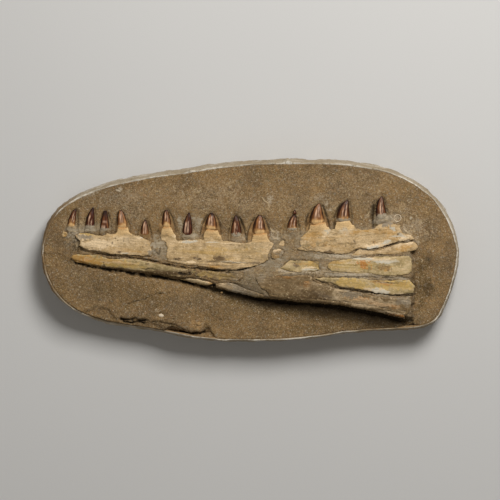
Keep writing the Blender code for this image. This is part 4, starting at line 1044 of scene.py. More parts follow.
class Finish:
    """A layered material: colours are laid one over another, then relief and gloss are set."""

    def __init__(self, name, tint):
        self.material = bpy.data.materials.new(name)
        self.material.use_nodes = True
        self.tree = self.material.node_tree
        self.shader = self.tree.nodes["Principled BSDF"]
        self.place = self.node("ShaderNodeTexCoord").outputs["Object"]
        self.tint = tint

    def node(self, kind, inputs=None, **settings):
        """A new node with its settings, and its inputs linked or set."""
        made = self.tree.nodes.new(kind)
        for name, value in settings.items():
            setattr(made, name, value)
        for name, value in (inputs or {}).items():
            self.feed(made.inputs[name], value)
        return made

    def feed(self, socket, value):
        """Links an output to a socket, or sets the socket."""
        if isinstance(value, bpy.types.NodeSocket):
            self.tree.links.new(value, socket)
        else:
            socket.default_value = value

    def mask(self, name):
        return self.node("ShaderNodeAttribute", attribute_name=name).outputs["Fac"]

    def directions(self, name):
        return self.node("ShaderNodeAttribute", attribute_name=name).outputs["Vector"]

    def noise(self, size, detail=2.0, roughness=0.5, vector=None, distortion=0.0):
        """Noise of about the size given, in millimetres."""
        scale = 1 / size if vector is not None else 1 / (size * MM)
        return self.node("ShaderNodeTexNoise", {
            "Vector": vector or self.place, "Scale": scale, "Detail": detail,
            "Roughness": roughness, "Distortion": distortion}).outputs["Fac"]

    def band(self, value, low, high, bottom=0.0, top=1.0):
        """Value stretched so that low gives bottom and high gives top."""
        return self.node("ShaderNodeMapRange", {
            "Value": value, "From Min": low, "From Max": high, "To Min": bottom, "To Max": top},
            interpolation_type="SMOOTHSTEP").outputs["Result"]

    def math(self, operation, first, second=0.0, clamp=False):
        made = self.node("ShaderNodeMath", operation=operation, use_clamp=clamp)
        self.feed(made.inputs[0], first)
        self.feed(made.inputs[1], second)
        return made.outputs[0]

    def times(self, first, second):
        """Two amounts multiplied, kept between 0 and 1."""
        return self.math("MULTIPLY", first, second, True)

    def mix(self, amount, first, second):
        """Second colour laid over first."""
        made = self.node("ShaderNodeMix", data_type="RGBA", clamp_factor=True)
        for index, value in ((0, amount), (6, first), (7, second)):
            self.feed(made.inputs[index], value)
        return made.outputs[2]

    def lay(self, tint, amount):
        """Lays a colour over what is there."""
        self.tint = self.mix(amount, self.tint, tint)

    def lay_where(self, tint, value, low, high, most=1.0):
        """Lays a colour that begins where value is low and is at its most where it is high."""
        self.lay(tint, self.band(value, low, high, 0.0, most))

    def shade(self, value, darkest, lightest, low=0.25, high=0.75):
        """Makes the colour darker and lighter along with value, by factors around 1."""
        factor = self.band(value, low, high, darkest, lightest)
        shaded = self.node("ShaderNodeHueSaturation", {"Color": self.tint, "Value": factor})
        self.tint = shaded.outputs["Color"]

    def finish(self, roughness, height, depth, shine=0.5):
        """Sends colour, roughness, relief and shine to the shader."""
        bump = self.node("ShaderNodeBump", {"Height": height, "Distance": depth * MM})
        for name, value in (("Base Color", self.tint), ("Roughness", roughness),
                            ("Normal", bump.outputs["Normal"]), ("Specular IOR Level", shine)):
            self.feed(self.shader.inputs[name], value)
        return self.material


def rock_finish(look):
    """Sandy rock: mottled, speckled light and dark, with filler, stains, painted light and shade, and
    painted shade in crevices.
    """
    rock = Finish("Sandy rock", look.rock)
    along = rock.directions("grain")
    grain = rock.noise(1.5, 3.0, 0.6)
    coarse = rock.noise(5.0, 3.0, 0.6)
    rock.lay_where(look.rock_brown, rock.noise(38.0, 3.0, 0.55), 0.38, 0.66)
    # Rubbed rock, and painted light: the patches are lighter towards the top of the slab.
    rock.lay(look.rock_rubbed_and_lit, rock.times(rock.mask("rubbed_and_lit"), rock.band(coarse, 0.3, 0.7)))
    # Stains, and painted shadow under the jaw, in the hollow behind it and towards the bottom.
    rock.lay(look.rock_stain_and_shade, rock.mask("shade"))
    rock.lay(look.rock_tan, rock.mask("tan"))
    filler = rock.mix(rock.band(rock.noise(3.0, 4.0, 0.6, along), 0.5, 0.7, 0.0, 0.75),
                      look.filler, look.pale_filler)
    filler = rock.mix(rock.band(rock.noise(7.0, 3.0, 0.6, along), 0.5, 0.3, 0.0, 0.55),
                      filler, look.dark_filler)
    rock.lay(filler, rock.mask("grey"))
    for tint, size, distortion, low, high, most in ROCK_BLOTCHES:
        rock.lay_where(getattr(look, tint), rock.noise(size, 3.0, 0.6, None, distortion), low, high, most)
    rock.shade(coarse, 0.8, 1.2)
    gritty = rock.band(rock.mask("grey"), 0.3, 0.9, 1.0, 0.5)
    rock.lay(look.pale_grit, rock.times(gritty, rock.band(grain, 0.5, 0.72, 0.0, 0.6)))
    rock.lay(look.dark_grit, rock.times(gritty, rock.band(grain, 0.48, 0.26, 0.0, 0.75)))
    winding = rock.math("ABSOLUTE", rock.math("SUBTRACT", rock.noise(7.0, 2.0, 0.5, None, 1.6), 0.5))
    marks = rock.times(rock.band(winding, 0.03, 0.008, 0.0, 0.75),
                       rock.band(rock.noise(15.0, 2.0), 0.48, 0.6))
    rock.lay(look.pale_grit, rock.times(marks, rock.band(rock.mask("rubbed_and_lit"), 0.05, 0.4, 0.25, 1.0)))
    rock.lay_where(look.shell, rock.noise(2.6, 2.0, 0.5, None, 0.4), 0.64, 0.7, 0.6)
    rock.lay_where(look.dark_grit, rock.noise(3.1, 2.0, 0.6, None, 0.8), 0.37, 0.3, 0.6)
    cloud = rock.noise(6.0, 4.0, 0.65, along)
    cloudy = rock.band(cloud, 0.35, 0.65)
    laid = rock.math("ADD", rock.mask("putty"), rock.math("SUBTRACT", cloud, 0.5))
    rock.lay_where(rock.mix(cloudy, look.filler, look.putty), laid, 0.3, 0.6, 0.9)
    rock.lay(rock.mix(cloudy, look.socket, look.rock_tan), rock.mask("bell"))
    rock.lay(look.splinter, rock.times(rock.mask("rubbed_and_lit"), rock.band(rock.noise(2.0, 2.0), 0.56, 0.66)))
    rock.lay(look.shell, rock.times(rock.mask("pale"), rock.band(rock.noise(3.0, 3.0), 0.35, 0.6)))
    rock.lay_where(look.splinter, rock.mask("splinter"), 0.3, 0.7, 0.8)
    # Painted shade in crevices, grooves, pits and joints, and the painted shadow under the jaw.
    rock.lay(look.shade_in_crevices, rock.mask("crevice_shade"))
    height = rock.math("ADD", coarse, rock.math("MULTIPLY", grain, 0.6))
    return rock.finish(0.92, height, 0.9, 0.1)


def bone_finish(look, finish):
    """Fossil bone: fibres and flakes along its length, stains, crust, and painted shade in its cracks."""
    kind = BONE_KINDS[finish]
    bone = Finish(f"{finish.capitalize()} bone", getattr(look, "base_" + finish))
    along = bone.directions("grain")
    fibre = bone.noise(1.3, 3.0, 0.6, along)
    streak = bone.noise(5.0, 3.0, 0.6, along)
    mottle = bone.noise(11.0, 4.0, 0.6)
    speckle = bone.noise(1.9, 3.0, 0.65)
    bone.lay_where(look.pale, mottle, 0.4, 0.72, kind.rubbed)
    bone.lay_where(look.ochre, streak, 0.5, 0.75, kind.rubbed + 0.1)
    bone.lay_where(look.brown, mottle, 0.48, 0.3, 0.4)
    flaking = bone.math("SUBTRACT", streak, 0.5)
    for name, cover in BONE_STAINS.items():
        stain = bone.math("ADD", bone.mask(name), bone.math("MULTIPLY", flaking, 0.9))
        bone.lay(getattr(look, name), bone.times(bone.band(stain, 0.15, 0.85), cover))
    bone.lay_where(look.brown, bone.noise(3.4, 3.0, 0.6, along), 0.36, 0.27, kind.streaks)
    bone.lay_where(look.drab, bone.noise(4.2, 3.0, 0.6, None, 0.5), 0.52, 0.72, 0.3)
    bone.lay_where(look.pale, bone.noise(3.1, 3.0, 0.6, None, 0.4), 0.55, 0.72, 0.55)
    bone.lay_where(look.root, bone.math("ADD", bone.mask("root"), flaking), 0.2, 0.8, 0.9)
    bone.lay(look.neck, bone.times(bone.mask("neck"), 0.85))
    bone.shade(fibre, *kind.fibres)
    bone.shade(speckle, *kind.speckle)
    bone.lay_where(look.brown, bone.noise(1.5, 2.0, 0.5, None, 0.5), 0.33, 0.26, kind.pores)
    # Painted shade in cracks and pits and on the side walls.
    bone.lay(look.shade_in_cracks, bone.mask("crevice_shade"))
    height = bone.math("ADD", bone.math("MULTIPLY", fibre, 0.7), bone.math("MULTIPLY", speckle, 0.5))
    return bone.finish(bone.band(streak, 0.3, 0.7, 0.5, 0.72), height, 0.45, 0.3)


def enamel_finish(look):
    """Glossy enamel, dark at tip and edges (partly painted shade), with streaks (partly painted reflections)
    and an amber foot.
    """
    enamel = Finish("Enamel", look.tan)
    along = enamel.directions("grain")
    streaky = enamel.noise(1.2, 3.0, 0.6, along)
    cloudy = enamel.noise(4.0, 3.0, 0.6, along)
    amber, dark, filler = (enamel.mask(name) for name in ("amber", "dark", "filler"))
    enamel.lay(look.maroon, enamel.mask("tone"))
    enamel.lay(look.amber, amber)
    enamel.lay_where(look.foot, amber, 0.45, 1.0)
    # Pale streaks: partly pink enamel, partly painted reflections.
    enamel.lay(look.streak, enamel.times(enamel.mask("streak"), enamel.band(streaky, 0.3, 0.6, 0.5, 1.0)))
    # Dark tip, and dark edges that are partly painted shade.
    enamel.lay(look.dark, dark)
    enamel.shade(streaky, 0.72, 1.3, 0.28, 0.72)
    enamel.shade(cloudy, 0.82, 1.18)
    crust = enamel.band(enamel.noise(2.6, 3.0, 0.6), 0.4, 0.65)
    enamel.lay(enamel.mix(crust, look.filler, look.pale_filler), filler)
    gloss = enamel.math("MAXIMUM", enamel.band(cloudy, 0.3, 0.7, 0.36, 0.5), enamel.times(dark, 0.75))
    return enamel.finish(enamel.math("MAXIMUM", gloss, filler), streaky, 0.25, 0.3)


def plaster_finish(look):
    """Field plaster: white where it is worn, dusty elsewhere, with a faint weave of cloth."""
    plaster = Finish("Field plaster", look.dirty_plaster)
    lumps = plaster.noise(14.0, 4.0, 0.6)
    grain = plaster.noise(1.6, 3.0, 0.6)
    smear = plaster.noise(5.0, 4.0, 0.65, None, 0.6)
    plaster.lay(look.tan_plaster, plaster.band(lumps, 0.35, 0.65, 0.1, 0.6))
    plaster.lay(look.plaster, plaster.times(plaster.mask("white"), plaster.band(smear, 0.3, 0.52)))
    plaster.lay(look.rock, plaster.times(plaster.mask("dust"), plaster.band(smear, 0.75, 0.55)))
    plaster.shade(grain, 0.86, 1.14)
    plaster.lay_where(look.plaster_stain, smear, 0.34, 0.24, 0.5)
    threads = [plaster.node("ShaderNodeTexWave", {
        "Vector": plaster.directions("weave"), "Scale": 0.16, "Distortion": 1.5, "Detail": 1.0},
        bands_direction=way).outputs["Fac"] for way in ("X", "Y")]
    cloth = plaster.math("MULTIPLY", plaster.math("MAXIMUM", *threads), plaster.band(lumps, 0.45, 0.6))
    height = plaster.math("ADD", plaster.math("MULTIPLY", cloth, 0.6), grain)
    return plaster.finish(0.93, height, 0.5)


def shell_finish(look):
    """Chalky shell with brown blotches."""
    shell = Finish("Chalky shell", look.clean_shell)
    grain = shell.noise(0.8, 3.0, 0.6)
    shell.lay_where(look.brown_shell, shell.noise(2.2, 3.0), 0.45, 0.7, 0.7)
    shell.shade(grain, 0.85, 1.12)
    return shell.finish(0.7, grain, 0.2)


# Pieces.

def jacket_rings(outer, inside, look):
    """Rings of the jacket: over its underside, round its foot, up its wall and over its rim."""
    x, y = outer.T
    rim = look.rim_width / MM
    sag = np.where(y < 0, RIM_SAG[2] * np.exp(-((x - RIM_SAG[0]) / RIM_SAG[1]) ** 4), 0.0)
    rim_top = rock_plain(x, y) + 0.9 * fractal(x, y, 46.0, 2, 97) + 0.3 - sag + 0.4 * fractal(x, y, 7, 3, 3)
    blob = sum(high * np.exp(-((x - at_x) / reach) ** 2) for at_x, reach, high in RIM_BLOBS)
    blob = np.where(y > 100, blob, 0.0)
    rings = []
    underside = outer + inside * JACKET_FOOT
    middle = underside.mean(0)
    for share in BED_RINGS:
        bed = middle + share * (underside - middle)
        rings.append(np.column_stack([bed, 0.6 * np.clip(fractal(*bed.T, 30, 4, 7), 0, 1)]))
    profile = []
    for step in range(FOOT_STEPS + 1):
        angle = step / FOOT_STEPS * math.pi / 2
        profile.append((JACKET_FOOT * (1 - math.sin(angle)), JACKET_FOOT * (1 - math.cos(angle)),
                        0.6 * step / FOOT_STEPS))
    for height in WALL_RINGS:
        profile.append((-JACKET_BELLY * math.sin(math.pi * height / FACE), height, 1.0))
    for inset, height, rough in profile:
        lumps = look.lump_height / MM * fractal(x + 0.9 * height, y - 0.7 * height, 16, 4, 5)
        slant = (x * 0.8 - y * 1.1 + 0.9 * height) / 21 + 1.2 * fractal(x, y, 40, 2, 9)
        strips = 0.8 * (slant / math.pi % 1.0) ** 2 + 0.5 * fractal(x, y + 2 * height, 5, 3, 11)
        swell = rough * (lumps + strips * min(1.0, (50 - height) / 12)) + blob * ramp(height, 30, 47)
        z = np.full(len(x), height) + (rim_top - FACE) * height / FACE * rough
        rings.append(np.column_stack([outer + inside * (inset - swell)[:, None], z]))
    lip = 0.3 + 1.3 * np.clip(0.3 + fractal(x, y, 9, 3, 25), 0, 1)
    thin = 0.55 * rim * np.clip(0.35 + fractal(x, y, 16, 3, 21), 0, 1)
    for ring in RIM_RINGS:
        inset = min(ring.inset, rim) + lip * ring.lapped
        outside = np.clip(1 - inset / rim, 0, 1)
        wear = thin * np.minimum(1.0, 1.2 * outside) - blob * outside
        crumbs = 0.35 * fractal(x + inset, y - inset, 3.5, 2, 31)
        z = np.maximum(rim_top - ring.drop + crumbs, JACKET_FLOOR)
        rings.append(np.column_stack([outer + inside * (inset + wear)[:, None], z]))
    return rings


def build_jacket(look):
    """The plaster tray: lumpy wall, rounded foot, flat underside and a ragged rim."""
    base = stepped(plan_of("matrix"), look.plaster_cell / MM)
    inside = inward(base)
    outer = base - inside * (look.rim_width / MM + CONTACT_GAP)
    rings = jacket_rings(outer, inside, look)
    places = np.vstack(rings)
    jacket = new_object("Plaster_field_jacket", places, tube_faces(len(rings), len(base)))
    x, y, height = places.T
    below_rim = len(rings) - len(RIM_RINGS)

    def by_ring(values, at_wall=WALL_WHITE):
        return np.repeat([at_wall] * below_rim + list(values), len(base))

    clean = 0.12 + 0.55 * fractal(x, y, 34, 3, 41)
    for at_x, at_y, reach, amount in RIM_WHITE:
        clean = np.maximum(clean, amount * spot((at_x, at_y, reach, reach), x, y))
    far_side = ramp(y, 50, 95) * (1 - ramp(x, 190, 250))
    worn = by_ring(ring.white for ring in RIM_RINGS) * (1 - far_side)
    worn += by_ring(ring.far_white for ring in RIM_RINGS) * far_side
    scuffed = ramp(fractal(x + 0.3 * height, y - 0.9 * height, 18, 5, 45), -0.3, 0.6)
    scuffed *= 1 - ramp(height, 36, 46)
    white = np.clip(1.2 * np.clip(clean, 0, 1) * worn + 0.4 * scuffed, 0, 1)
    dusty = ramp(height, 20, 40) * (1 - ramp(x, -300, -262)) * ramp(y, -90, -60)
    dusty = np.maximum(by_ring(ring.dust for ring in RIM_RINGS), dusty)
    set_mask(jacket, "white", white)
    set_mask(jacket, "dust", np.clip(dusty - 1.2 * white, 0, 1) + 0.1 * (1 - ramp(height, 46, 49.5)))
    on_bed = np.arange(len(x)) < len(BED_RINGS) * len(base)
    along = np.where(on_bed, x, np.arctan2(y, x) * 300)
    up = np.where(on_bed, y, height)
    set_directions(jacket, "weave", np.column_stack([along, up, np.zeros(len(x))]))
    place_piece(jacket, "plaster_jacket", plaster_finish(look))


def rock_levels(axes, x, y, grain):
    """Height of the rock at each point, and its painted shade in crevices, under the jaw and in the hollow.
    """
    upper, lower = jaw_edges(x)
    plain = rock_plain(x, y)
    raised = jaw_surface(x, y) - BED_DROP
    sway = x + 3.5 * fractal(x, y, 12, 3, 57)
    bed = ramp(y - lower, 1.5, 5.0) * ramp(upper - y, -13.0, 1.5)
    bed *= ramp(sway, JAW_FRONT - 8, JAW_FRONT + 4) * (1 - ramp(sway, JAW_REAR - 4, JAW_REAR + 5))
    height = plain + bed * np.maximum(raised - plain, 0.0)
    height = with_roots(axes, x, y, height, -0.9)
    crevice_shade = np.zeros(x.shape)
    for number, step in enumerate(ROCK_STEPS):
        line = np.array(step.line, float)
        sway_x = x + 3.4 * fractal(x, y, 13, 4, 60 + number)
        sway_y = y + 3.4 * fractal(x, y, 13, 4, 70 + number)
        lower_side = np.vstack([line, [line[-1][0], -170], [line[0][0], -170]])
        inside = depth_inside(lower_side, sway_x, sway_y)
        fall = step.drop * (0.75 * ramp(inside, 0, step.width) + 0.25 * ramp(inside, 0, 4 * step.width))
        height -= fall
        # Painted shade along the foot of each broken edge, where the ledge above would shade it.
        gap = np.clip(0.4 * fractal(x, y, 16, 2, 75), 0, 1)
        height += 0.9 * ramp(inside, 0, 3) * np.abs(fractal(x, y, 6, 3, 77))
        crevice_shade = np.maximum(crevice_shade, gap * np.exp(-((inside - 0.6 * step.width) / step.width) ** 2))
    depth, dark = groove_relief(ROCK_GROOVES, x, y, 80)
    height -= depth
    crevice_shade = np.maximum(crevice_shade, dark)
    # Painted shadow under the lower edge of the jaw: black close to it, fading further down.
    below = np.where(lower > y, lower - y, 99.0) + 2.5 * fractal(x, y, 12, 3, 99)
    reach = table(UNDERCUT_SHADOW_WIDTH, x)
    undercut_shadow = ramp(x, -120, -30) * (1 - ramp(x, 235, 268))
    crevice_shade = np.maximum(crevice_shade, 0.9 * undercut_shadow * (1 - ramp(below, 0.5 * reach, 1.7 * reach)))
    rough = grain * (fractal(x, y, 9.0, 4, 90) + 1.1 * np.abs(fractal(x, y, 4.2, 3, 94)))
    pebbly = spot(RUBBLE, x, y)
    height += rough * (1 - 0.3 * bed + 1.5 * pebbly)
    crevice_shade = np.maximum(crevice_shade, 0.7 * pebbly * ramp(fractal(x, y, 5.0, 3, 91), 0.1, 0.5))
    # Painted shade in the hollow behind the jaw.
    recess_shade = spot(HOLLOW_SHADE, x, y) * ramp(fractal(x, y, 15.0, 4, 92), 0.0, 0.6)
    crevice_shade = np.maximum(crevice_shade, 0.5 * recess_shade)
    height += 0.9 * fractal(x, y, 46.0, 2, 97)
    return height, crevice_shade, bed


def sink_pocket(floor, close, inside, pocket_floor, edge):
    """Lowers the floor to that of a pocket over the stretch inside its edge."""
    sunk = ramp(inside, *edge)
    floor[close] = np.minimum(floor[close], NO_POCKET * (1 - sunk) + pocket_floor * sunk)


def fit_bones(axes, x, y, top, joint, floor):
    """Holds the rock down round the bones, marks the joint round them and sinks their pockets."""
    lap = fractal(x, y, 10, 3, 121)
    for bone in (bone for group in BONES.values() for bone in group):
        plan = bone_plan(bone.node, axes)
        close = near(plan, x, y, BONE_REACH)
        inside = depth_inside(plan, x[close], y[close])
        outside = np.maximum(-inside, 0)
        proud = BONE_PROUD * np.clip(0.6 + 0.9 * lap[close], 0.0, 1.2)
        ceiling = jaw_surface(x[close], y[close]) + bone.lift - proud
        top[close] = np.minimum(top[close], ceiling + ROCK_SLOPE * outside)
        joint[close] = np.maximum(joint[close], np.exp(-(outside / 1.1) ** 2))
        sink_pocket(floor, close, inside, POCKET_FLOOR, (1.0, 2.4))


def fit_crowns(axes, x, y, top, joint, floor):
    """Hollows the rock round the crowns, marks the joint round them and sinks their pockets."""
    for axis in axes.values():
        plan = crown_plan(axis)
        close = near(plan, x, y, BONE_REACH)
        inside = depth_inside(plan, x[close], y[close])
        outside = np.maximum(-inside, 0)
        _, down = beside(axis, x[close], y[close])
        free = 1 - ramp(down, -2.0, 1.0)
        top[close] -= 0.7 * free * np.exp(-(outside / 3.4) ** 2)
        rim = axis.height - 0.2 + CROWN_HOLLOW_SLOPE * outside + 4.0 * (1 - free)
        top[close] = np.minimum(top[close], rim)
        joint[close] = np.maximum(joint[close], 0.45 * free * np.exp(-(outside / 0.9) ** 2))
        sink_pocket(floor, close, inside, TOOTH_POCKET_FLOOR, (1.2, 2.6))


def carve_sockets(axes, x, y, top, crevice_shade):
    """Carves the edges of the sockets. Gives back the painted shade and the tan of the rock inside."""
    recess_shade, bell = np.zeros(x.shape), np.zeros(x.shape)
    for socket in SOCKETS:
        front, rear = socket_edges(axes[socket.node], socket)
        edges = [Groove(1.5, 1.7, socket.front_dark, front), Groove(1.5, 1.7, socket.rear_dark, rear)]
        depth, dark = groove_relief(edges, x, y, 83, 0.6, True)
        top -= depth
        crevice_shade[:] = np.maximum(crevice_shade, dark)
        plan = np.vstack([rear, front[::-1]])
        close = near(plan, x, y, 3.0)
        inside = depth_inside(plan, x[close], y[close])
        recess_shade[close] = np.maximum(recess_shade[close], socket.tint * ramp(inside, -0.5, 1.5))
        bell[close] = np.maximum(bell[close], socket.tan * ramp(inside, -0.3, 1.2))
    return recess_shade, bell


def raise_splinters(x, y, top, bed):
    """Raises the splinters and the flecks of shell. Gives back where they are."""
    splinter = np.zeros(x.shape)
    lap = fractal(x, y, 10, 3, 121)
    for ridge in ROCK_RIDGES:
        line = np.array(ridge.line, float)
        close = near(line, x, y, 5.0)
        away = distance_to(line, x[close] + 0.8 * lap[close], y[close] - 0.8 * lap[close])
        crest = np.clip(1.1 + lap[close], 0.3, 1) * np.exp(-(away / ridge.width) ** 2)
        top[close] += ridge.height * crest
        splinter[close] = np.maximum(splinter[close], crest)
    fleck = ramp(fractal(x, y, 3.4, 2, 140), 0.95, 1.15) * (1 - 0.7 * bed)
    top += 0.35 * fleck
    return np.maximum(splinter, 0.8 * fleck)


def build_rock(look):
    """The rock slab: a rough face with ledges, grooves, raised filler and sunk pockets."""
    axes = crown_axes()
    outline = stepped(plan_of("matrix"), look.cell / MM)
    inner, _ = scattered(outline, look.cell / MM, 50)
    x, y = np.vstack([outline, inner]).T
    top, crevice_shade, bed = rock_levels(axes, x, y, look.grain_height / MM)
    joint, floor = np.zeros(x.shape), np.full(x.shape, NO_POCKET)
    fit_bones(axes, x, y, top, joint, floor)
    fit_crowns(axes, x, y, top, joint, floor)
    recess_shade, bell = carve_sockets(axes, x, y, top, crevice_shade)
    splinter = raise_splinters(x, y, top, bed)
    for node in ("shell_ring", "shell_chip", "nodule", "pebble"):
        low, high = in_mm(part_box(node))
        middle, half = (low + high) / 2, (high - low) / 2
        out = np.hypot((x - middle[0]) / half[0], (y - middle[1]) / half[1]) - 1
        stand = min(1.3, 0.45 * (high[2] - low[2]))
        top = np.minimum(top, high[2] - stand + 0.5 * half[:2].mean() * np.maximum(out, 0))
    # The joint round the bones and crowns is sunk and darkened with painted shade.
    seam = joint * np.clip(0.1 + 0.9 * fractal(x, y, 12, 3, 120), 0, 1)
    crevice_shade = np.clip(np.maximum(crevice_shade, 0.5 * seam), 0, 1)
    top = np.minimum(top - 0.9 * seam, floor)
    # A broad painted shadow under the jaw, laid with the shade mask.
    below = jaw_edges(x)[1] - y
    shadow_under_jaw = np.where(below > 0, np.exp(-(below / 26.0) ** 2), 0.0)
    shadow_under_jaw *= 0.2 + 0.8 * ramp(x, -130, 0) * (1 - ramp(x, 235, 275))
    crust = 0.8 * bed * np.clip(0.75 + 0.6 * fractal(x, y, 14, 3, 125), 0, 1) * ramp(x, -60, -20)
    rock, places, _ = slab_of("Rock_slab", outline, inner, top, SLAB_FLOOR, [0.1, 0.5, 1.0],
                              lambda px, py, pz: np.zeros(len(px)))
    x, y, z = places.T
    under = {"grey": with_walls(crust, places), "shade": with_walls(np.maximum(recess_shade, shadow_under_jaw), places)}
    for number, kind in enumerate(ROCK_PATCHES):
        mask = patch_mask(ROCK_PATCHES[kind], x, y, 130 + 7 * number)
        set_mask(rock, kind, np.clip(np.maximum(mask, under.get(kind, 0.0)), 0, 1))
    along, across = turned(x, y, FILLER_GRAIN)
    set_directions(rock, "grain", np.column_stack([along / 5, across, z]))
    # The side walls get some painted shade as well.
    set_mask(rock, "crevice_shade", with_walls(crevice_shade, places, 0.3))
    set_mask(rock, "splinter", with_walls(splinter, places))
    set_mask(rock, "bell", with_walls(bell, places))
    place_piece(rock, "matrix", rock_finish(look))


def bone_levels(bone, axes, x, y, inside, look):
    """Height of a bone's surface at each point, and the painted shade in its cracks and pits."""
    u, v = turned(x, y, bone.grain)
    seed = 200 + 13 * len(bone.node) + ord(bone.node[-1])
    lower = jaw_edges(x)[1]
    flakes = ramp(fractal(u / 3, v, 7.0, 4, seed), 0.05, 0.17)
    chips = ramp(fractal(u / 1.8, v, 4.5, 3, seed + 3), 0.3, 0.4)
    fibres = fractal(u / 14, v, 2.2, 2, seed + 6)
    dents = fractal(x, y, 14, 3, seed + 9)
    depth, dark = groove_relief(BONE_GROOVES, x, y, 180)
    pits = patch_mask(PITTED, x, y, 190) * ramp(fractal(x, y, 2.6, 2, seed + 15), 0.6, 0.9)
    depth, dark = np.maximum(depth, 0.6 * pits), np.maximum(dark, 0.75 * pits)
    thickness = look.flake_height / MM * BONE_KINDS[bone.finish].layers
    height = with_roots(axes, x, y, jaw_surface(x, y) + bone.lift, 0.05)
    root = root_mask(axes, x, y)
    height -= (thickness * flakes + 0.8 * thickness * chips) * (1 - 0.8 * root)
    height += look.fibre_height / MM * fibres + 0.35 * dents * (1 - root) - depth
    worn = (0.8 + 0.6 * fractal(x, y, 10, 2, seed + 12)) * (1 - root) + 0.4 * root
    height -= 0.9 * np.maximum(worn, 0.0) * (1 - ramp(inside, 0.0, 2.4))
    rounding = table(BONE_ROUNDING, x)
    from_edge = np.clip(1 - (y - lower) / rounding, 0, 1)
    height -= 0.75 * rounding * (1 - np.sqrt(1 - from_edge ** 2))
    return height, dark, flakes


def build_bone(bone, axes, look, material):
    """One bone: a ragged slab of fibrous layers."""
    number = 300 + 7 * len(bone.node) + ord(bone.node[-2])
    cell = look.cell / MM
    outline = broken(stepped(bone_plan(bone.node, axes), cell), look.ragged / MM, 4.0, number)
    inner, depth = scattered(outline, cell, number + 1)
    inside = np.concatenate([np.zeros(len(outline)), depth])
    flat = np.vstack([outline, inner])
    top, dark, flakes = bone_levels(bone, axes, *flat.T, inside, look)
    piece, places, sunk = slab_of(
        bone.node + "_bone", outline, inner, top, POCKET_FLOOR, [0.04, 0.1, 0.2, 0.35, 0.6, 1.0],
        lambda x, y, z: 0.25 + 0.35 * fractal(x + y, 3 * z, 3.0, 2, number + 2))
    x, y, z = places.T
    u, v = turned(x, y, bone.grain)
    set_directions(piece, "grain", np.column_stack([u / 9, v, z]))
    root = root_mask(axes, x, y)
    # Painted shade on the side walls of the bone, less where it runs into a root.
    wall = np.clip(1.6 * sunk, 0, 1) * (1 - 0.9 * root)
    set_mask(piece, "crevice_shade", np.clip(with_walls(dark, places) + 0.45 * wall, 0, 1))
    under = {"pale": BONE_KINDS[bone.finish].bare * with_walls(flakes, places)}
    for number, kind in enumerate(BONE_PATCHES):
        mask = patch_mask(BONE_PATCHES[kind], x, y, 140 + 5 * number)
        set_mask(piece, kind, np.clip(np.maximum(mask, under.get(kind, 0.0)), 0, 1))
    set_mask(piece, "root", root)
    set_mask(piece, "neck", neck_mask(axes, x, y))
    place_piece(piece, bone.node, material)


def build_bones(group, look):
    """All the bones of one group."""
    axes = crown_axes()
    materials = {}
    for bone in BONES[group]:
        name = f"{bone.finish.capitalize()} bone"
        materials.setdefault(bone.finish, bpy.data.materials.get(name) or bone_finish(look, bone.finish))
        build_bone(bone, axes, look, materials[bone.finish])


def crown_masks(crown, ring_t, ring_phi, seed):
    """Where a crown has its colours, by the share of its length and the angle round it."""
    across = fuller(np.cos(ring_phi))
    wobble = 0.06 * fractal(ring_t * 9, across * 2, 1.5, 2, seed + 7)
    front = ramp(-across + wobble * 1.5, 1 - 0.7 * crown.front, 1.0 - 0.3 * crown.front)
    rear = ramp(across + wobble * 1.5, 1 - 0.7 * crown.rear, 1.0 - 0.3 * crown.rear)
    tip = ramp(ring_t + 0.12 * fractal(ring_phi * 3, ring_t * 6, 1.5, 2, seed + 9), 1.05 - crown.tip, 1.0)
    # The dark edges are partly dark enamel and partly painted shade on the flanks, darker on one side.
    edges = np.maximum(front, rear) * (0.5 + 0.45 * ramp(ring_t, 0.0, 0.5))
    arch = ring_t + wobble * 2 + 0.14 * across ** 2
    amber = (1 - ramp(arch, crown.foot - 0.12, crown.foot + 0.22)) if crown.foot else 0 * ring_t
    # The pale streaks are partly pink enamel and partly painted reflections; painted shade runs beside each.
    streak, shade_beside_streak = np.zeros(ring_t.shape), np.zeros(ring_t.shape)
    for place, width, low, high in crown.streaks:
        away = np.abs(across + wobble - place)
        span = ramp(ring_t, low - 0.08, low + 0.08) * (1 - ramp(ring_t, high - 0.12, high + 0.05))
        streak = np.maximum(streak, span * (1 - ramp(away, 0.7 * width, 1.3 * width)))
        flank = np.exp(-((away - 1.9 * width) / (0.5 * width)) ** 2)
        shade_beside_streak = np.maximum(shade_beside_streak, 0.6 * span * flank)
    dark = np.maximum.reduce([edges, shade_beside_streak, tip])
    # Painted light: every other facet lighter or darker, as if the facets caught the light differently.
    facet_shading = 0.14 * np.sign(np.sin(ring_phi * CROWN_FACETS / 2))
    tone = crown.tone + facet_shading + 0.25 * fractal(across * 4, ring_t * 8, 3, 2, seed + 11)
    covered = crown.filler + 0.08 * fractal(across * 5, ring_t * 20, 2.6, 3, seed + 15)
    filler = 1 - ramp(ring_t, covered - 0.04, covered + 0.04) if crown.filler else 0 * ring_t
    return {"tone": tone, "dark": dark, "amber": amber, "filler": filler, "streak": streak}


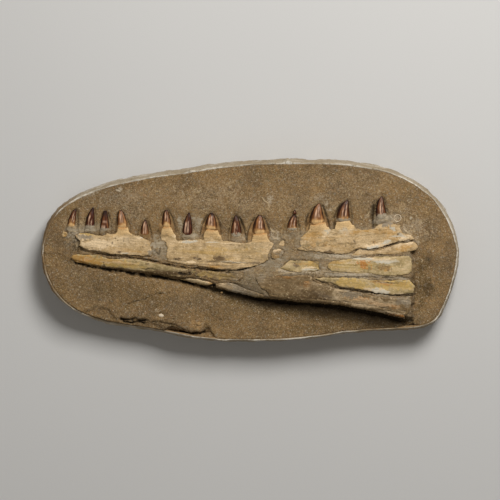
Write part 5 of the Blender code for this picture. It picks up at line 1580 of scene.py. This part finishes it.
def build_crown(crown, look, material):
    """One crown: a bent ridged cone, half sunk in the rock, pointed or broken at the tip."""
    axis = crown_axis(crown.node)
    seed = 400 + int(crown.node[6:8]) * 9
    blunt = axis.half_tip > BROKEN_TIP_WIDTH
    t = np.linspace(-0.12, 1.0, look.rings)
    middle, half = crown_line(axis, t)
    middle[t < 0] = axis.foot + axis.upright * np.linalg.norm(axis.tip - axis.foot) * t[t < 0][:, None]
    half = half * np.where(t < 0, 1 + 1.2 * t, 1.0)[:, None]
    if not blunt:
        half = half * np.sqrt(np.clip(1 - (np.clip(t - 0.95, 0, 1) / 0.051) ** 2, 0.0, 1))[:, None] + 0.05
    along = along_line(middle)
    right = np.column_stack([along[:, 1], -along[:, 0]])
    phi = np.linspace(0, 2 * math.pi, look.sides, endpoint=False)
    reach = np.linalg.norm(axis.tip - axis.foot)
    ring_t, ring_phi = np.meshgrid(t, phi, indexing="ij")
    girth = ring_phi / (2 * math.pi) * 40
    ridges = look.ridge_height / MM * fractal(girth, ring_t * reach / 9, 1.6, 2, seed)
    turn = 2 * math.pi / CROWN_FACETS
    facets = 0.7 * half * (math.cos(turn / 2) / np.cos(ring_phi % turn - turn / 2) - 1)
    dents = 0.3 * fractal(np.cos(ring_phi) * 6, ring_t * reach, 6.0, 2, seed + 3)
    radius = np.maximum(half + (ridges + facets + dents) * np.minimum(1, half / 2.5), 0.04)
    rise = radius * CROWN_FLATTENING * fuller(np.sin(ring_phi))
    side = radius * fuller(np.cos(ring_phi))
    height = axis.height + axis.lift * ring_t + rise
    if blunt:
        height[-1] -= 0.6 + 0.5 * fractal(side[-1], rise[-1], 1.5, 2, seed + 5)
    plan = middle[:, None, :] + right[:, None, :] * side[:, :, None]
    places = np.concatenate([plan, height[:, :, None]], axis=2).reshape(-1, 3)
    faces = [face[::-1] for face in tube_faces(look.rings, look.sides)]
    piece = new_object(crown.node + "_crown", places, faces)
    for name, values in crown_masks(crown, ring_t, ring_phi, seed).items():
        set_mask(piece, name, np.clip(values, 0, 1).ravel())
    grain = [girth.ravel(), ring_t.ravel() * reach / 8, np.zeros(girth.size)]
    set_directions(piece, "grain", np.column_stack(grain))
    place_piece(piece, crown.node, material)


def build_lump(name, node, material, seed, relief):
    """A rounded lump with a rough surface that fills the box of its node."""
    low, high = in_mm(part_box(node))
    middle, half = (low + high) / 2, (high - low) / 2
    rings, sides = 28, 40
    places = []
    for k in range(rings):
        lift = -math.cos(math.pi * (k + 0.5) / rings)
        flat = math.sqrt(1 - lift * lift)
        for j in range(sides):
            turn = 2 * math.pi * j / sides
            places.append((flat * math.cos(turn), flat * math.sin(turn), lift))
    places = np.array(places)
    rough = relief * fractal(places[:, 0] * half[0] + places[:, 2] * 3, places[:, 1] * half[1], 3.5, 3, seed)
    places = middle + places * (half * (1 - relief / half.min()) + rough[:, None])
    lump = new_object(name, places, tube_faces(rings, sides))
    x, y = places[:, 0], places[:, 1]
    set_directions(lump, "grain", places)
    for kind in ("grey", "pale", "rubbed_and_lit", "shade", "crevice_shade", "splinter", "putty", "bell"):
        set_mask(lump, kind, np.zeros(len(places)))
    set_mask(lump, "tan", np.clip(0.75 + 0.3 * fractal(x, y, 5, 2, seed + 4), 0, 1))
    place_piece(lump, node, material)


def build_ring(material):
    """Thin ring of shell with an uneven wall."""
    low, high = in_mm(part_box("shell_ring"))
    middle = (low + high) / 2
    tube = (high[2] - low[2]) / 2
    radius = (high[0] - low[0]) / 2 - tube
    around, sides = 72, 14
    places = []
    for k in range(around):
        turn = 2 * math.pi * k / around
        swell = 1 + 0.22 * math.sin(3 * turn + 1) + 0.12 * math.sin(7 * turn)
        for j in range(sides):
            roll = 2 * math.pi * j / sides
            reach = radius + 0.25 * math.sin(2 * turn) + tube * 0.8 * swell * math.cos(roll)
            places.append((middle[0] + reach * math.cos(turn), middle[1] + reach * math.sin(turn),
                           middle[2] + tube * min(1.0, swell) * math.sin(roll) + 0.6))
    faces = []
    for k in range(around):
        for j in range(sides):
            next_k, next_j = (k + 1) % around, (j + 1) % sides
            faces.append([k * sides + j, next_k * sides + j, next_k * sides + next_j, k * sides + next_j])
    ring = new_object("Shell_ring_piece", np.array(places), faces)
    place_piece(ring, "shell_ring", material)


def build_chip(material):
    """Small flake of shell with a worn surface."""
    outline = broken(stepped(plan_of("shell_chip"), 0.5), 0.5, 2.0, 520)
    inner, depth = scattered(outline, 0.5, 521)
    flat = np.vstack([outline, inner])
    low, high = in_mm(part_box("shell_chip"))
    inside = np.concatenate([np.zeros(len(outline)), depth])
    top = high[2] - 0.9 * (1 - ramp(inside, 0, 1.6)) + 0.25 * fractal(*flat.T, 2.0, 3, 523) - 0.2
    chip, _, _ = slab_of("Shell_chip_piece", outline, inner, top, low[2], [0.15, 0.5, 1.0],
                         lambda x, y, z: 0.1 * fractal(x + y, z * 2, 1.0, 2, 524))
    place_piece(chip, "shell_chip", material)


def build_stage(look):
    """Pale floor, soft light from the side of the teeth, and the camera over the slab."""
    corners = [(x * FLOOR_HALF, y * FLOOR_HALF, FLOOR_LEVEL)
               for x, y in ((-1, -1), (1, -1), (1, 1), (-1, 1))]
    mesh = bpy.data.meshes.new("Studio_floor")
    mesh.from_pydata(corners, [], [[0, 1, 2, 3]])
    floor = bpy.data.objects.new("Studio_floor", mesh)
    bpy.context.scene.collection.objects.link(floor)
    paper = Finish("Studio paper", look.floor)
    paper.lay(look.floor_cloud, paper.noise(900.0, 2.0))
    mesh.materials.append(paper.finish(0.9, paper.noise(2.0), 0.1))
    target = Vector(AIM)
    add_light("Key light", look.key_power, 1.2, target + Vector(KEY_PLACE), target)
    add_light("Fill light", look.fill_power, 2.5, target + Vector(FILL_PLACE), target)
    world = bpy.data.worlds.new("Studio")
    world.use_nodes = True
    background = world.node_tree.nodes["Background"]
    background.inputs["Color"].default_value = WARM_WHITE
    background.inputs["Strength"].default_value = look.ambient
    bpy.context.scene.world = world
    data = bpy.data.cameras.new("Camera")
    data.sensor_width = 36.0
    data.lens = data.sensor_width * look.distance / look.frame_width
    data.clip_end = 20.0
    camera = bpy.data.objects.new("Camera", data)
    camera.location = target + look.distance * Vector((0.0, math.sin(look.tilt), math.cos(look.tilt)))
    camera.rotation_euler = (-look.tilt, 0.0, 0.0)
    bpy.context.scene.collection.objects.link(camera)
    bpy.context.scene.camera = camera
    bpy.context.scene.view_settings.view_transform = "Standard"


def add_light(name, power, size, place, target):
    """A square soft light that points at the target."""
    data = bpy.data.lights.new(name, "AREA")
    data.energy = power
    data.shape = "SQUARE"
    data.size = size
    light = bpy.data.objects.new(name, data)
    light.location = place
    light.rotation_euler = (target - place).to_track_quat("-Z", "Y").to_euler()
    bpy.context.scene.collection.objects.link(light)


# Operators and panel.

class FOSSIL_OT_jacket(bpy.types.Operator):
    """Build the plaster field jacket"""
    bl_idname = "fossil.jacket"
    bl_label = "Plaster jacket"

    def execute(self, context):
        build_jacket(context.scene.slab_look)
        return {"FINISHED"}


class FOSSIL_OT_rock(bpy.types.Operator):
    """Build the rock slab with its pockets, grooves and ledges"""
    bl_idname = "fossil.rock"
    bl_label = "Rock slab"

    def execute(self, context):
        build_rock(context.scene.slab_look)
        return {"FINISHED"}


class FOSSIL_OT_dentary(bpy.types.Operator):
    """Build the tooth-bearing bones"""
    bl_idname = "fossil.dentary"
    bl_label = "Dentary bones"

    def execute(self, context):
        build_bones("dentary", context.scene.bone_look)
        return {"FINISHED"}


class FOSSIL_OT_rear_bones(bpy.types.Operator):
    """Build the surangular and angular bones"""
    bl_idname = "fossil.rear_bones"
    bl_label = "Rear bones"

    def execute(self, context):
        build_bones("rear", context.scene.bone_look)
        return {"FINISHED"}


class FOSSIL_OT_splenial(bpy.types.Operator):
    """Build the splenial bones"""
    bl_idname = "fossil.splenial"
    bl_label = "Splenial bones"

    def execute(self, context):
        build_bones("splenial", context.scene.bone_look)
        return {"FINISHED"}


class FOSSIL_OT_crowns(bpy.types.Operator):
    """Build the tooth crowns"""
    bl_idname = "fossil.crowns"
    bl_label = "Tooth crowns"

    def execute(self, context):
        material = enamel_finish(context.scene.tooth_look)
        for crown in CROWNS:
            build_crown(crown, context.scene.tooth_look, material)
        return {"FINISHED"}


class FOSSIL_OT_small_things(bpy.types.Operator):
    """Build the shell ring, the shell chip, the nodule and the pebble"""
    bl_idname = "fossil.small_things"
    bl_label = "Small things in the rock"

    def execute(self, context):
        look = context.scene.slab_look
        rock = bpy.data.materials.get("Sandy rock") or rock_finish(look)
        shell = shell_finish(look)
        build_lump("Tan_nodule", "nodule", rock, 500, 1.0)
        build_lump("Round_pebble", "pebble", rock, 510, 0.3)
        build_ring(shell)
        build_chip(shell)
        return {"FINISHED"}


class FOSSIL_OT_stage(bpy.types.Operator):
    """Set up the floor, the lights and the camera"""
    bl_idname = "fossil.stage"
    bl_label = "Stage"

    def execute(self, context):
        build_stage(context.scene.stage_look)
        return {"FINISHED"}


LOOKS = {"slab_look": SlabLook, "bone_look": BoneLook, "tooth_look": ToothLook, "stage_look": StageLook}
OPERATORS = [FOSSIL_OT_jacket, FOSSIL_OT_rock, FOSSIL_OT_dentary, FOSSIL_OT_rear_bones,
             FOSSIL_OT_splenial, FOSSIL_OT_crowns, FOSSIL_OT_small_things, FOSSIL_OT_stage]


class FOSSIL_PT_panel(bpy.types.Panel):
    """Lists the pieces of the slab and their looks"""
    bl_idname = "FOSSIL_PT_panel"
    bl_label = "Mosasaur jaw slab"
    bl_space_type = "VIEW_3D"
    bl_region_type = "UI"
    bl_category = "Fossil"

    def draw(self, context):
        for name, group in LOOKS.items():
            box = self.layout.box()
            box.label(text=group.__doc__)
            for key in group.__annotations__:
                box.prop(getattr(context.scene, name), key)
        for operator in OPERATORS:
            self.layout.operator(operator.bl_idname)


CLASSES = [*LOOKS.values(), *OPERATORS, FOSSIL_PT_panel]


def register():
    for cls in CLASSES:
        bpy.utils.register_class(cls)
    for name, group in LOOKS.items():
        setattr(bpy.types.Scene, name, bpy.props.PointerProperty(type=group))


def unregister():
    for name in LOOKS:
        delattr(bpy.types.Scene, name)
    for cls in reversed(CLASSES):
        bpy.utils.unregister_class(cls)


def main():
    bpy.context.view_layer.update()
    register()
    for operator in OPERATORS:
        group, name = operator.bl_idname.split(".")
        getattr(getattr(bpy.ops, group), name)()


if __name__ == "__main__":
    main()
